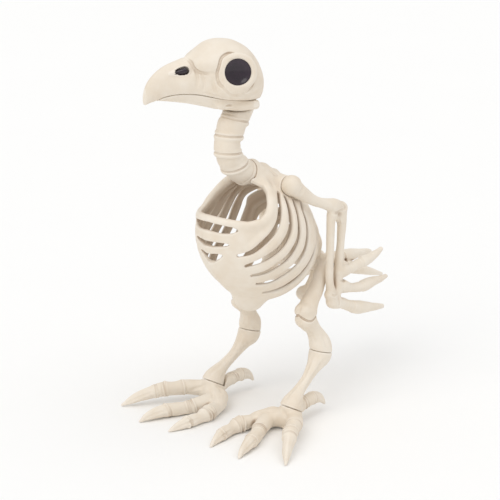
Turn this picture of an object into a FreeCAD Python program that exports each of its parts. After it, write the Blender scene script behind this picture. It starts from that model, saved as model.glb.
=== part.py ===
import FreeCAD, Part
import os, math
import Sketcher
from FreeCAD import Vector as V, Rotation, Placement

# A free-standing, posable bird skeleton figure, moulded in bone-coloured plastic.
# The bird looks along -Y, its left side is +X and +Z is up.
doc = FreeCAD.newDocument("bird_skeleton_figure")

# ---------------------------------------------------------------- driving sizes
sheet = doc.addObject("Spreadsheet::Sheet", "Sizes")
CELLS = [
    # alias, millimetres (or degrees), note
    ("shift_back", -40.51, "moves the whole figure so that it stands over the origin"),
    ("joint_gap", 0.35, "gap between faces that turn past each other"),
    ("run_gap", 0.07, "radial running clearance of every pin"),
    ("head_yaw", -25, "how far the head is turned to the bird's right, degrees"),
    ("neck_top_y", -17.6, "top of the neck, front to back"),
    ("neck_top_z", 308.7, "top of the neck, height"),
    ("skull_wall", 2.5, "wall of the skull shells"),
    ("collar_radius", 13.3, "round collar under the skull and ring on the neck"),
    ("collar_height", 20, "height of the collar with its bearing"),
    ("swivel_radius", 6, "neck swivel spigot"),
    ("flange_radius", 8.5, "flange that holds the head on"),
    ("flange_thick", 2.6, "flange thickness"),
    ("eye_radius", 11.8, "dark eye dish"),
    ("eye_rim_radius", 14.6, "centre line of the raised eye ring"),
    ("eye_rim_girth", 3.4, "half thickness of the raised eye ring"),
    ("eye_depth", 5, "depth of the eye recess"),
    ("jaw_pin_radius", 1.5, "jaw hinge pins"),
    ("neck_wall", 2.4, "wall of the neck shells"),
    ("neck_girth", 12.5, "typical radius of the neck"),
    ("plug_radius", 8.5, "plug at the foot of the neck"),
    ("plug_length", 10, "length of that plug"),
    ("cage_half_width", 48, "rib cage, half width"),
    ("cage_half_length", 75.3, "rib cage, long half axis"),
    ("cage_half_depth", 58.2, "rib cage, short half axis"),
    ("cage_wall", 3.2, "thickness of the ribs"),
    ("cage_y", 9.5, "rib cage centre, front to back"),
    ("cage_z", 178.8, "rib cage centre, height"),
    ("cage_tilt", -35.52, "rib cage tilt, degrees"),
    ("keel_radius", 12, "rounded point of the breast bone"),
    ("spine_radius", 6.6, "ridge of the back bone"),
    ("tenon_radius", 3.6, "tenon that joins the pelvis to the back bone"),
    ("tenon_length", 9, "its length"),
    ("shoulder_x", 33, "centre of the shoulder ball, sideways"),
    ("shoulder_y", 19.6, "centre of the shoulder ball, front to back"),
    ("shoulder_z", 233.6, "centre of the shoulder ball, height"),
    ("shoulder_ball", 9.6, "radius of the shoulder ball"),
    ("shoulder_flat", 6, "from the ball centre to its flat inner face"),
    ("shoulder_pad", 8.2, "radius of the pad on the chest"),
    ("small_screw", 1.6, "radius of the M3-class self-tapping screws"),
    ("small_head", 3, "radius of their pan heads"),
    ("head_thick", 2, "thickness of the pan heads"),
    ("washer_radius", 4.2, "radius of the friction washers"),
    ("washer_thick", 0.8, "thickness of the friction washers"),
    ("arm_girth", 5, "typical radius of the upper wing bone"),
    ("fore_girth", 4, "typical radius of the lower wing bones"),
    ("finger_girth", 5, "typical radius of the wing finger bones"),
    ("tail_girth", 6, "typical radius of the tail bones"),
    ("hip_x", 31, "hip, sideways"),
    ("hip_y", 74, "hip, front to back"),
    ("hip_z", 143, "hip, height"),
    ("hip_head", 9, "radius of the thigh's round head"),
    ("hip_width", 11, "width of the thigh's round head"),
    ("hip_boss", 8, "radius of the pelvis bosses"),
    ("thigh_girth", 8, "typical radius of the thigh"),
    ("shank_girth", 6, "typical radius of the shank"),
    ("hock_tilt", 15.6, "backward tilt of the hock seam, degrees"),
    ("ankle_tilt", 30, "backward tilt of the ankle seam, degrees"),
    ("right_wing_back", 6, "how far the right wing stands further back than the left, degrees"),
    ("plug_pin", 3.2, "radius of the hock and ankle plug pins"),
    ("plug_bead", 4, "radius of the bead that holds a plug pin in"),
    ("toe_girth", 6.5, "typical radius of the toes"),
]
for i, (alias, value, note) in enumerate(CELLS):
    row = i + 1
    sheet.set("A%d" % row, note)
    sheet.set("B%d" % row, str(value))
    sheet.setAlias("B%d" % row, alias)
doc.recompute()
VAL = {a: float(v) for a, v, n in CELLS}
S = "Sizes."


def ex(obj, prop, text):
    obj.setExpression(prop, text)


# ---------------------------------------------------------------- small helpers
def frames(pts):
    """Section planes square to a centre line, turned as little as possible."""
    out = []
    last = None
    n = len(pts)
    for i in range(n):
        a = V(*pts[max(i - 1, 0)][:3])
        b = V(*pts[min(i + 1, n - 1)][:3])
        d = b.sub(a)
        d.normalize()
        ref = last if last is not None else (V(1, 0, 0) if abs(d.x) < 0.8 else V(0, 1, 0))
        x = ref.sub(V(d).multiply(ref.dot(d)))
        x.normalize()
        last = x
        y = d.cross(x)
        m = FreeCAD.Matrix(x.x, y.x, d.x, 0, x.y, y.y, d.y, 0, x.z, y.z, d.z, 0, 0, 0, 0, 1)
        out.append(Placement(V(*pts[i][:3]), Placement(m).Rotation))
    return out


def ring_sketch(owner, name, place, radius, girth):
    sk = owner.newObject("Sketcher::SketchObject", name)
    sk.Placement = place
    sk.addGeometry(Part.Circle(V(0, 0, 0), V(0, 0, 1), radius), False)
    sk.addConstraint(Sketcher.Constraint("Coincident", 0, 3, -1, 1))
    sk.addConstraint(Sketcher.Constraint("Radius", 0, radius))
    sk.setExpression("Constraints[1]", "%s%s * %.4f" % (S, girth, radius / VAL[girth]))
    return sk


def bone(name, chains):
    """One moulded bone: a body with one loft through round sections per branch."""
    body = doc.addObject("PartDesign::Body", name)
    for c, (girth, pts) in enumerate(chains):
        sks = [ring_sketch(body, "%s_ring_%d_%d" % (name, c, i), pl, p[3], girth)
               for i, (pl, p) in enumerate(zip(frames(pts), pts))]
        loft = body.newObject("PartDesign::AdditiveLoft", "%s_branch_%d" % (name, c))
        loft.Profile = sks[0]
        loft.Sections = sks[1:]
        loft.Ruled = True
        loft.Refine = False
        doc.recompute()
    return body


def cylinder(name, radius, height, place, rad_ex=None, h_ex=None):
    c = doc.addObject("Part::Cylinder", name)
    c.Radius, c.Height, c.Placement = radius, height, place
    if rad_ex:
        ex(c, "Radius", rad_ex)
    if h_ex:
        ex(c, "Height", h_ex)
    return c


def sphere(name, radius, centre, rad_ex=None):
    c = doc.addObject("Part::Sphere", name)
    c.Radius, c.Placement = radius, Placement(V(*centre), Rotation())
    if rad_ex:
        ex(c, "Radius", rad_ex)
    return c


def box(name, low, high, rot=None):
    c = doc.addObject("Part::Box", name)
    c.Length, c.Width, c.Height = high[0] - low[0], high[1] - low[1], high[2] - low[2]
    c.Placement = Placement(V(*low), rot or Rotation())
    return c


def fuse(name, *objs):
    f = doc.addObject("Part::MultiFuse", name)
    f.Shapes = list(objs)
    f.Refine = False
    return f


def cut(name, base, tool):
    f = doc.addObject("Part::Cut", name)
    f.Base, f.Tool = base, tool
    f.Refine = False
    return f


def common(name, base, tool):
    f = doc.addObject("Part::MultiCommon", name)
    f.Shapes = [base, tool]
    f.Refine = False
    return f


def mirror(name, src):
    f = doc.addObject("Part::Mirroring", name)
    f.Source = src
    f.Normal = V(1, 0, 0)
    f.Base = V(0, 0, 0)
    return f


def prism(name, points, plane, start, length):
    """A straight prism: a closed outline drawn in plane YZ, XZ or XY and pushed out."""
    sk = doc.addObject("Sketcher::SketchObject", name + "_outline")
    if plane == "YZ":
        rot, base, axis = Rotation(V(0, 1, 0), V(0, 0, 1), V(1, 0, 0), "ZXY"), V(start, 0, 0), V(1, 0, 0)
    elif plane == "XZ":
        rot, base, axis = Rotation(V(1, 0, 0), V(0, 0, 1), V(0, -1, 0), "ZXY"), V(0, start, 0), V(0, 1, 0)
    else:
        rot, base, axis = Rotation(), V(0, 0, start), V(0, 0, 1)
    sk.Placement = Placement(base, rot)
    n = len(points)
    for i in range(n):
        a, b = points[i], points[(i + 1) % n]
        sk.addGeometry(Part.LineSegment(V(a[0], a[1], 0), V(b[0], b[1], 0)), False)
    for i in range(n):
        sk.addConstraint(Sketcher.Constraint("Coincident", i, 2, (i + 1) % n, 1))
    p = doc.addObject("Part::Extrusion", name)
    p.Base = sk
    p.DirMode = "Custom"
    p.Dir = axis
    p.LengthFwd = length
    p.Solid = True
    return p


def band(points, half):
    """Outline of a slot of constant width along a centre line, with pointed-round ends."""
    left, right = [], []
    n = len(points)
    for i in range(n):
        ax, ay = points[max(i - 1, 0)]
        bx, by = points[min(i + 1, n - 1)]
        d = math.hypot(bx - ax, by - ay)
        nx, ny = -(by - ay) / d, (bx - ax) / d
        k = half * (0.45 if i in (0, n - 1) else 1.0)
        left.append((points[i][0] + nx * k, points[i][1] + ny * k))
        right.append((points[i][0] - nx * k, points[i][1] - ny * k))
    return left + right[::-1]


def oval(name, centre, wide, high, axis):
    e = doc.addObject("Part::Ellipse", name)
    d = V(*axis)
    d.normalize()
    x = V(1, 0, 0)
    if wide >= high:
        e.MajorRadius, e.MinorRadius = wide, high
        y = d.cross(x)
    else:
        e.MajorRadius, e.MinorRadius = high, wide
        y = V(-1, 0, 0)
        x = d.cross(V(1, 0, 0))
        x.normalize()
        y = d.cross(x)
    m = FreeCAD.Matrix(x.x, y.x, d.x, 0, x.y, y.y, d.y, 0, x.z, y.z, d.z, 0, 0, 0, 0, 1)
    e.Placement = Placement(V(*centre), Placement(m).Rotation)
    return e


def oval_loft(name, rings, ruled=False):
    es = [oval("%s_oval_%d" % (name, i), *r) for i, r in enumerate(rings)]
    l = doc.addObject("Part::Loft", name)
    l.Sections = es
    l.Solid = True
    l.Ruled = ruled
    return l


def revolved(name, outline, place):
    """A turned part: a closed half outline (radius, height) spun about its own Z."""
    body = doc.addObject("PartDesign::Body", name)
    sk = body.newObject("Sketcher::SketchObject", name + "_profile")
    sk.Placement = Placement(V(0, 0, 0), Rotation(V(1, 0, 0), V(0, 0, 1), V(0, -1, 0), "ZXY"))
    n = len(outline)
    for i in range(n):
        a, b = outline[i], outline[(i + 1) % n]
        sk.addGeometry(Part.LineSegment(V(a[0], a[1], 0), V(b[0], b[1], 0)), False)
    for i in range(n):
        sk.addConstraint(Sketcher.Constraint("Coincident", i, 2, (i + 1) % n, 1))
    rev = body.newObject("PartDesign::Revolution", name + "_turned")
    rev.Profile = sk
    rev.ReferenceAxis = (sk, ["V_Axis"])
    rev.Angle = 360
    body.Placement = place
    return body


def along(point, axis):
    return Placement(V(*point), Rotation(V(0, 0, 1), V(*axis)))


NODES = []          # (label, object, head-mounted?)


def node(label, obj):
    obj.Label = label
    NODES.append((label, obj))
    return obj


# ---------------------------------------------------------------- head (own frame: origin at the neck joint)
# Stations of the head form: front-back position, top, bottom, half width.
HEAD = [(22.6, 33, 21, 8), (19.5, 41, 11, 16), (12.5, 50.5, 4.5, 22.5), (2.5, 58, 2.6, 26.6),
        (-10, 63.2, 2.8, 28.6), (-21, 64.6, 4.2, 27.8), (-31, 62.8, 6.2, 24.6), (-40, 58.6, 8.4, 20.2),
        (-47, 54.6, 9.9, 16), (-55, 51.2, 11.2, 13), (-64, 48.8, 12.6, 11.2), (-74, 44.6, 13.6, 9.2),
        (-82, 39.2, 13.8, 7), (-88, 32.6, 12.9, 4.8), (-91.6, 26, 11.9, 2.8), (-92.8, 21.5, 13.2, 1.4)]


def head_rings(grow):
    return [((0, y, (t + b) / 2), max(w + grow, 0.6), max((t - b) / 2 + grow, 0.6), (0, -1, 0)) for y, t, b, w in HEAD]


SEAM = [(40, 11), (10, 11.2), (0, 12), (-10, 13.4), (-22, 15), (-32, 17), (-42, 19.2), (-52, 20.4),
        (-60, 20.8), (-70, 20.2), (-79, 18.6), (-86, 15.5)]

head_form = oval_loft("head_form", head_rings(0))
above = prism("above_seam", [(y, z + 0.2) for y, z in SEAM] + [(-110, 5), (-110, 90), (40, 90)], "YZ", -50, 100)
skull_skin = common("skull_skin", head_form, above)
hollow_form = oval_loft("hollow_form", [((0, y, (t + b) / 2), w - 2.5, (t - b) / 2 - 2.5, (0, -1, 0))
                                        for y, t, b, w in HEAD[1:8]])
hollow_lid = prism("hollow_above_palate", [(y, z + 2.9) for y, z in SEAM] + [(-110, 8), (-110, 90), (40, 90)], "YZ", -50, 100)
hollow = common("skull_hollow", hollow_form, hollow_lid)
skull_open = cut("skull_shell", skull_skin, hollow)

collar = cylinder("collar", 13.3, 19.65, along((0, 0, 0.35), (0, 0, 1)), S + "collar_radius",
                  S + "collar_height - " + S + "joint_gap")
lugs = fuse("jaw_lugs", box("lug_left", (11.2, 4, 4.2), (15.4, 12, 14)), box("lug_right", (-15.4, 4, 4.2), (-11.2, 12, 14)))

# eye sockets: a raised ring round a shallow round recess, on an axis that looks out and a little forward
EYE_AXIS = V(math.cos(math.radians(17)), -math.sin(math.radians(17)), 0.12)
EYE_AXIS.normalize()
EYE_P = V(25.6, -11.5, 40.2)


def eye_place(side, out):
    p = EYE_P.add(V(EYE_AXIS).multiply(out))
    return Placement(V(p.x * side, p.y, p.z), Rotation(V(0, 0, 1), V(EYE_AXIS.x * side, EYE_AXIS.y, EYE_AXIS.z)))


rims, pits = [], []
for side, tag in ((1, "left"), (-1, "right")):
    r = doc.addObject("Part::Torus", "eye_rim_" + tag)
    r.Radius1, r.Radius2 = 14.6, 3.4
    r.Placement = eye_place(side, -1.2)
    ex(r, "Radius1", S + "eye_rim_radius")
    ex(r, "Radius2", S + "eye_rim_girth")
    rims.append(r)
    # solid backing so that the recess has a floor
    rims.append(cylinder("eye_floor_" + tag, 14.6, 9, eye_place(side, -9), S + "eye_rim_radius"))
    pits.append(cylinder("eye_pit_" + tag, 11.8, 14, eye_place(side, -3.5), S + "eye_radius"))
NOSE = V(10.4, -57.4, 40.6)
NOSE_AXIS = V(0.93, -0.12, 0.34)
for side, tag in ((1, "left"), (-1, "right")):
    c = doc.addObject("Part::Ellipsoid", "nostril_pit_" + tag)
    c.Radius1, c.Radius2, c.Radius3 = 2.4, 6.2, 3.2
    c.Placement = Placement(V(NOSE.x * side, NOSE.y, NOSE.z), Rotation(V(0, -1, 0), V(0, 0, 1), V(NOSE_AXIS.x * side, NOSE_AXIS.y, NOSE_AXIS.z), "ZXY"))
    pits.append(c)
bearing = cylinder("swivel_bore", 6.07, 22, along((0, 0, -0.5), (0, 0, 1)), S + "swivel_radius + " + S + "run_gap")
flange_room = cylinder("flange_room", 9.2, 6, along((0, 0, 20), (0, 0, 1)), S + "flange_radius + 0.7")
flange_room.setExpression("Placement.Base.z", S + "collar_height")
pin_holes = cylinder("lug_pin_hole", 1.5, 60, along((-30, 8, 7.4), (1, 0, 0)), S + "jaw_pin_radius")
skull_solid = cut("skull_bored", fuse("skull_with_rims", skull_open, collar, lugs, *rims),
                  fuse("skull_openings", bearing, flange_room, pin_holes, *pits))
half_l = box("half_left", (0, -140, -20), (60, 60, 120))
half_r = box("half_right", (-60, -140, -20), (0, 60, 120))
skull_left = common("skull_left", skull_solid, half_l)
skull_right = common("skull_right", skull_solid, half_r)


def eye_dish(name, side):
    # a shallow round dish, thicker at its edge, lying on the floor of the recess
    return revolved(name, [(0, 0), (11.75, 0), (11.75, 3.3), (10.2, 3.1), (7, 1.9), (3.5, 1.25), (0, 1.05)],
                    eye_place(side, -3.5))


eye_left = eye_dish("eye_dish_left", 1)
eye_right = eye_dish("eye_dish_right", -1)
nost = []
for side, tag in ((1, "left"), (-1, "right")):
    c = doc.addObject("Part::Ellipsoid", "nostril_body_" + tag)
    c.Radius1, c.Radius2, c.Radius3 = 2.35, 6.15, 3.15
    c.Placement = doc.getObject("nostril_pit_" + tag).Placement
    # only the inner part, so that the inlay sits below the surface
    flat = box("nostril_face_" + tag, (-9, -9, -6), (9, 9, -0.5))
    flat.Placement = Placement(c.Placement.multVec(V(-9, -9, -6)), c.Placement.Rotation)
    nost.append(common("nostril_" + tag, c, flat))

# lower jaw: the part of the head form under the seam, open at the back round the collar
below = prism("below_seam", [(y, z - 0.25) for y, z in SEAM] + [(-110, 5), (-110, -30), (40, -30)], "YZ", -50, 100)
jaw_form = oval_loft("jaw_form", [((0, y, (t + b) / 2 + 0.2), w - 0.6, (t - b) / 2 - 0.2, (0, -1, 0)) for y, t, b, w in HEAD[1:13]])
jaw_skin = common("jaw_skin", jaw_form, below)
jaw_gap = fuse("jaw_notch", cylinder("jaw_notch_round", 15.8, 60, along((0, -4.2, -20), (0, 0, 1))),
               box("jaw_notch_back", (-15.8, -4.2, -20), (15.8, 50, 40)))
jaw_bore = cylinder("jaw_bore", 1.57, 41.6, along((-20.8, 8, 7.4), (1, 0, 0)), S + "jaw_pin_radius + " + S + "run_gap")
jaw_front = box("jaw_front", (-40, -90, -20), (40, 15.5, 40))
jaw = common("jaw_body", cut("jaw_cut", cut("jaw_notched", jaw_skin, jaw_gap), jaw_bore), jaw_front)
jp = []
for side in (1, -1):
    jp.append(cylinder("jaw_pin_%s" % ("a" if side > 0 else "b"), 1.5, 9, along((11.3 * side, 8, 7.4), (side, 0, 0)), S + "jaw_pin_radius"))
jaw_pins = doc.addObject("Part::Compound", "jaw_pin_pair")
jaw_pins.Links = jp

HEAD_NODES = [("skull_left_half", skull_left), ("skull_right_half", skull_right), ("eye_left", eye_left), ("eye_right", eye_right),
              ("nostril_left", nost[0]), ("nostril_right", nost[1]), ("lower_jaw", jaw), ("jaw_hinge_pins", jaw_pins)]

# ---------------------------------------------------------------- neck
NECK = [(0, -17.6, 308.7, 13.3), (0, -20.6, 304.2, 13.2), (0, -23.5, 298.2, 12.3), (0, -27.1, 294.6, 13.3), (0, -30.3, 287.4, 12.5),
        (0, -32.8, 282.0, 11.7), (0, -33.3, 276.0, 12.3), (0, -32.2, 270.6, 11.7), (0, -29.2, 263.9, 12.2), (0, -24.2, 257.3, 12.2),
        (0, -17.9, 251.6, 12.5), (0, -8, 245.6, 12.9)]
ND = V(0, 0.86, -0.51)
ND.normalize()


def neck_loft(name, grow, pts):
    body = doc.addObject("PartDesign::Body", name)
    fr = frames(pts)
    fr[0] = Placement(fr[0].Base, Rotation(V(0, 0, 1), V(0, 0, -1)))
    fr[0] = Placement(V(*pts[0][:3]), Rotation(V(1, 0, 0), V(0, -1, 0), V(0, 0, -1), "ZXY"))
    sks = [ring_sketch(body, "%s_ring_%d" % (name, i), pl, p[3] + grow, "neck_girth") for i, (pl, p) in enumerate(zip(fr, pts))]
    loft = body.newObject("PartDesign::AdditiveLoft", name + "_loft")
    loft.Profile = sks[0]
    loft.Sections = sks[1:]
    loft.Ruled = True
    loft.Refine = False
    return body


neck_skin = neck_loft("neck_skin", 0, NECK)
neck_inner = neck_loft("neck_inner", -2.4, NECK[1:-1])
spigot = cylinder("swivel_spigot", 6, 20.4, along((0, -17.6, 308.7), (0, 0, 1)), S + "swivel_radius",
                  S + "collar_height + " + S + "joint_gap + 0.05")
flange = cylinder("swivel_flange", 8.5, 2.6, along((0, -17.6, 329.05), (0, 0, 1)), S + "flange_radius", S + "flange_thick")
flange.setExpression("Placement.Base.z", S + "neck_top_z + " + S + "collar_height + " + S + "joint_gap")
plug = cylinder("neck_plug", 8.5, 10, along((0, -8, 245.6), ND), S + "plug_radius", S + "plug_length")
neck_all = fuse("neck_all", cut("neck_hollowed", neck_skin, neck_inner), spigot, flange, plug)
n_l = box("neck_half_left", (0, -80, 200), (40, 60, 345))
n_r = box("neck_half_right", (-40, -80, 200), (0, 60, 345))
neck_left = common("neck_left", neck_all, n_l)
neck_right = common("neck_right", neck_all, n_r)

# ---------------------------------------------------------------- rib cage


def cage(name, grow):
    """Egg-shaped form of the rib cage, lofted sideways through upright oval sections."""
    rings = []
    for i, x in enumerate((-16, 0, 14, 25, 33, 39, 43.5, 46.2, 47.6)):
        e = doc.addObject("Part::Ellipse", "%s_oval_%d" % (name, i))
        k = math.sqrt(1 - (x / 48.0) ** 2)
        ex(e, "MajorRadius", "(%scage_half_length + %s) * %.5f" % (S, grow, k))
        ex(e, "MinorRadius", "(%scage_half_depth + %s) * %.5f" % (S, grow, k))
        m = FreeCAD.Matrix(0, 0, 1, 0, math.cos(TA), -math.sin(TA), 0, 0, math.sin(TA), math.cos(TA), 0, 0, 0, 0, 0, 1)
        e.Placement = Placement(V(0, VAL["cage_y"], VAL["cage_z"]), Placement(m).Rotation)
        ex(e, "Placement.Base.x", "%.5f * (%scage_half_width + %s)" % (x / 48.0, S, grow))
        ex(e, "Placement.Base.y", S + "cage_y")
        ex(e, "Placement.Base.z", S + "cage_z")
        rings.append(e)
    l = doc.addObject("Part::Loft", name)
    l.Sections = rings
    l.Solid = True
    l.Ruled = False
    return l


TA = math.radians(VAL["cage_tilt"])
cage_out = cage("cage_outside", "0")
cage_in = cage("cage_inside", "(0 - " + S + "cage_wall)")
yoke = oval_loft("shoulder_yoke", [((0, -8, 245.6), 12.9, 12.9, (0, .86, -.51)), ((0, 2, 240), 16.6, 14.2, (0, .88, -.47)),
                                   ((0, 14, 234.6), 21, 14.6, (0, .9, -.43)), ((0, 27, 228), 21, 13.6, (0, .88, -.48)),
                                   ((0, 40, 219.6), 17.5, 12.2, (0, .8, -.6)), ((0, 51, 208.6), 12, 10, (0, .70, -.72)),
                                   ((0, 62, 197.5), 8, 8, (0, .56, -.83)), ((0, 70, 182), 6.9, 6.9, (0, .42, -.907))])
keel = sphere("keel_point", 12, (0, -1, 121.6), S + "keel_radius")
outer = fuse("chest_outside", cage_out, yoke, keel)
SP_END = V(0, 72.5, 176)
SP_DIR = V(0, .42, -.907)
SP_DIR.normalize()

GAPS = [[(-47.4, 179.4), (-37.6, 183.7), (-25.8, 190.9), (-15.7, 198.6), (-7.9, 208.6), (-2.5, 219.5), (1.5, 225)],
        [(-39, 166.9), (-28.7, 171.9), (-16.6, 178.1), (-5.5, 187.4), (3.1, 198.3), (8.1, 211), (11.5, 218)],
        [(-31.8, 156), (-18.3, 162), (-2.8, 171.9), (11, 183.8), (18.7, 194.7), (21.9, 207.9), (23.5, 214)],
        [(-23.2, 145.8), (-10, 150.4), (4.7, 157.4), (17.7, 164.4), (28.7, 179.4), (31.7, 192.2), (34.2, 204)],
        [(-10.5, 133.4), (1.5, 137.2), (20.3, 143.7), (35.8, 151.8), (48, 164.7), (55, 178), (57, 187)]]
tools = []
for i, g in enumerate(GAPS):
    tools.append(prism("rib_gap_%d" % (i + 1), band(g, 2.3), "YZ", 16, 60))
tools.append(prism("front_opening", [(-32, 211.4), (32, 211.4), (36.2, 215), (35.4, 222), (29, 231), (22, 236.5), (15, 246),
                                     (-15, 246), (-22, 236.5), (-29, 231), (-35.4, 222), (-36.2, 215)], "XZ", -100, 92.5))
tools.append(prism("front_slot_1", [(-24, 201.2), (-18, 200.4), (18, 200.4), (24, 201.2), (25.5, 203.4), (24, 205.6), (12, 208.6), (-12, 208.6), (-24, 205.6), (-25.5, 203.4)], "XZ", -100, 85))
tools.append(prism("front_slot_2", [(-17, 188.6), (17, 188.6), (19, 190.6), (17, 192.4), (8, 193.6), (-8, 193.6), (-17, 192.4), (-19, 190.6)], "XZ", -100, 85))
tools.append(prism("front_slot_3", [(-5, 171.4), (5, 171.4), (12.5, 178.6), (11.5, 180), (-11.5, 180), (-12.5, 178.6)], "XZ", -100, 85))
tools.append(prism("open_rear", [(3, 100), (6, 119.5), (13, 123.4), (24, 127.4), (33, 133.4), (43, 141.2), (53, 147.6), (61.6, 154), (66, 168), (66.8, 173.4), (90, 184.1),
                                 (110, 190), (110, 100)], "YZ", -60, 120))
rib_cutter = fuse("rib_cutter", cage_in, *tools)
chest_cut = cut("chest_with_ribs", outer, rib_cutter)

pad = cylinder("shoulder_pad_body", 8.2, 14, along((12.65, 19.6, 233.6), (1, 0, 0)), S + "shoulder_pad")
ex(pad, "Height", S + "shoulder_x - " + S + "shoulder_flat - " + S + "joint_gap - 12.65")
ball_room = sphere("ball_room", 10.6, (33, 19.6, 233.6), S + "shoulder_ball + 1")
ball_room_box = box("ball_room_side", (26.65, 0, 215), (60, 45, 260))
ball_space = common("ball_space", ball_room, ball_room_box)
arm_room = bone("arm_room", [("arm_girth", [(33, 19.6, 233.6, 9.8), (36, 28.4, 226.0, 8.5), (38.5, 35.7, 220.1, 7.1), (41, 44.5, 214.7, 6.2)])])
arm_room_box = box("arm_room_side", (26.65, 0, 195), (60, 60, 260))
arm_space = common("arm_space", arm_room, arm_room_box)
screw_bore = cylinder("screw_bore", 1.67, 30, along((6, 19.6, 233.6), (1, 0, 0)), S + "small_screw + " + S + "run_gap")
screw_well = cylinder("screw_well", 4.8, 13.5, along((4, 19.6, 233.6), (1, 0, 0)), S + "washer_radius + 0.6")
socket = cylinder("neck_socket", 8.5, 10.3, along((0, -8, 245.6), ND), S + "plug_radius", S + "plug_length + 0.3")
ridge = cylinder("spine_end", 6.6, 22, Placement(SP_END.sub(V(SP_DIR).multiply(22)), Rotation(V(0, 0, 1), SP_DIR)), S + "spine_radius")
tenon_bore = cylinder("tenon_bore", 3.6, 9.3, Placement(SP_END.sub(V(SP_DIR).multiply(9.3)), Rotation(V(0, 0, 1), SP_DIR)), S + "tenon_radius", S + "tenon_length + 0.3")
end_trim = box("spine_trim", (-30, -30, 0), (30, 30, 60))
end_trim.Placement = Placement(SP_END, Rotation(V(0, 0, 1), SP_DIR)).multiply(Placement(V(-30, -30, 0), Rotation()))
chest_solid = cut("chest_bored", fuse("chest_fused", cut("chest_clear", chest_cut, fuse("wing_space", ball_space, arm_space)), pad, ridge),
                  fuse("chest_bores", screw_bore, screw_well, socket, tenon_bore, end_trim))
c_l = box("chest_half_left", (0, -120, 90), (70, 120, 270))
torso_left = common("torso_left", chest_solid, c_l)
torso_right = mirror("torso_right", torso_left)

# ---------------------------------------------------------------- pelvis and tail
pelvis_form = oval_loft("pelvis_form", [((0, SP_END.y, SP_END.z), 6.6, 6.6, (0, SP_DIR.y, SP_DIR.z)), ((0, 75.6, 167), 9, 8, (0, .3, -.95)), ((0, 77, 157), 13, 9.4, (0, .2, -.98)),
                                        ((0, 80, 147), 15, 10.6, (0, .45, -.89)), ((0, 88, 139), 12.4, 9.4, (0, .8, -.6)), ((0, 97, 134), 9.8, 7.8, (0, .93, -.36)),
                                        ((0, 108, 131.2), 8, 7, (0, 1, -.1))])
hip_bar = cylinder("hip_bar", 8, 50.3, along((-25.15, 74, 143), (1, 0, 0)), S + "hip_boss")
strut = bone("pubic_strut", [("tail_girth", [(0, 97, 136, 5.2), (0, 96, 127, 5), (0, 92.4, 117.5, 4.6), (0, 86, 110, 4.8), (0, 79, 105.6, 5.8)])])
knob = sphere("pubic_knob", 7.4, (0, 77.2, 105.2))
tenon = cylinder("pelvis_tenon", 3.6, 13, Placement(SP_END.sub(V(SP_DIR).multiply(9)), Rotation(V(0, 0, 1), SP_DIR)), S + "tenon_radius", S + "tenon_length + 4")
tail_bore = cylinder("tail_bore", 3.2, 14, along((0, 96, 132.6), (0, 1, -.1)), "3.2")
hip_bore = cylinder("hip_bore", 1.6, 70, along((-35, 74, 143), (1, 0, 0)), S + "small_screw")
pelvis = cut("pelvis_body", fuse("pelvis_fused", pelvis_form, hip_bar, strut, knob, tenon), fuse("pelvis_bores", tail_bore, hip_bore))

T0 = (0, 108.3, 131.2)
tail = bone("tail_body", [
    ("tail_girth", [T0 + (6.9,), (0, 118, 131, 7.2), (0, 129, 130.2, 6.6), (0, 142, 128.6, 6.7), (0, 156, 127.5, 5.4), (0, 169, 126.3, 3.7), (0, 183, 124.5, 1.5)]),
    ("tail_girth", [(1.5, 112, 128.5, 5.6), (4, 125.6, 123.6, 5.8), (8, 139.9, 118.9, 6.2), (11, 152.4, 114.4, 5.4), (13, 162.9, 110.4, 4.1), (14.5, 172.6, 106.7, 2.8), (16, 182.4, 103.2, 1.3)]),
    ("tail_girth", [(-1.5, 112, 128.5, 5.6), (-4, 125.6, 123.6, 5.8), (-8, 139.9, 118.9, 6.2), (-11, 152.4, 114.4, 5.4), (-13, 162.9, 110.4, 4.1), (-14.5, 172.6, 106.7, 2.8), (-16, 182.4, 103.2, 1.3)])])
tail_trim = box("tail_trim", (-30, 60, 90), (30, 108, 160))
tail_trim.Placement = Placement(V(0, 108, 131.2), Rotation(V(0, 0, 1), V(0, 1, -.1))).multiply(Placement(V(-30, -40, -40), Rotation()))
tail_trim.Length, tail_trim.Width, tail_trim.Height = 60, 80, 40
tail_plug = cylinder("tail_plug", 3.2, 16, along((0, 97, 132.5), (0, 1, -.1)), "3.2")
tail_fan = fuse("tail_fused", cut("tail_cut", tail, tail_trim), tail_plug)

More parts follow.
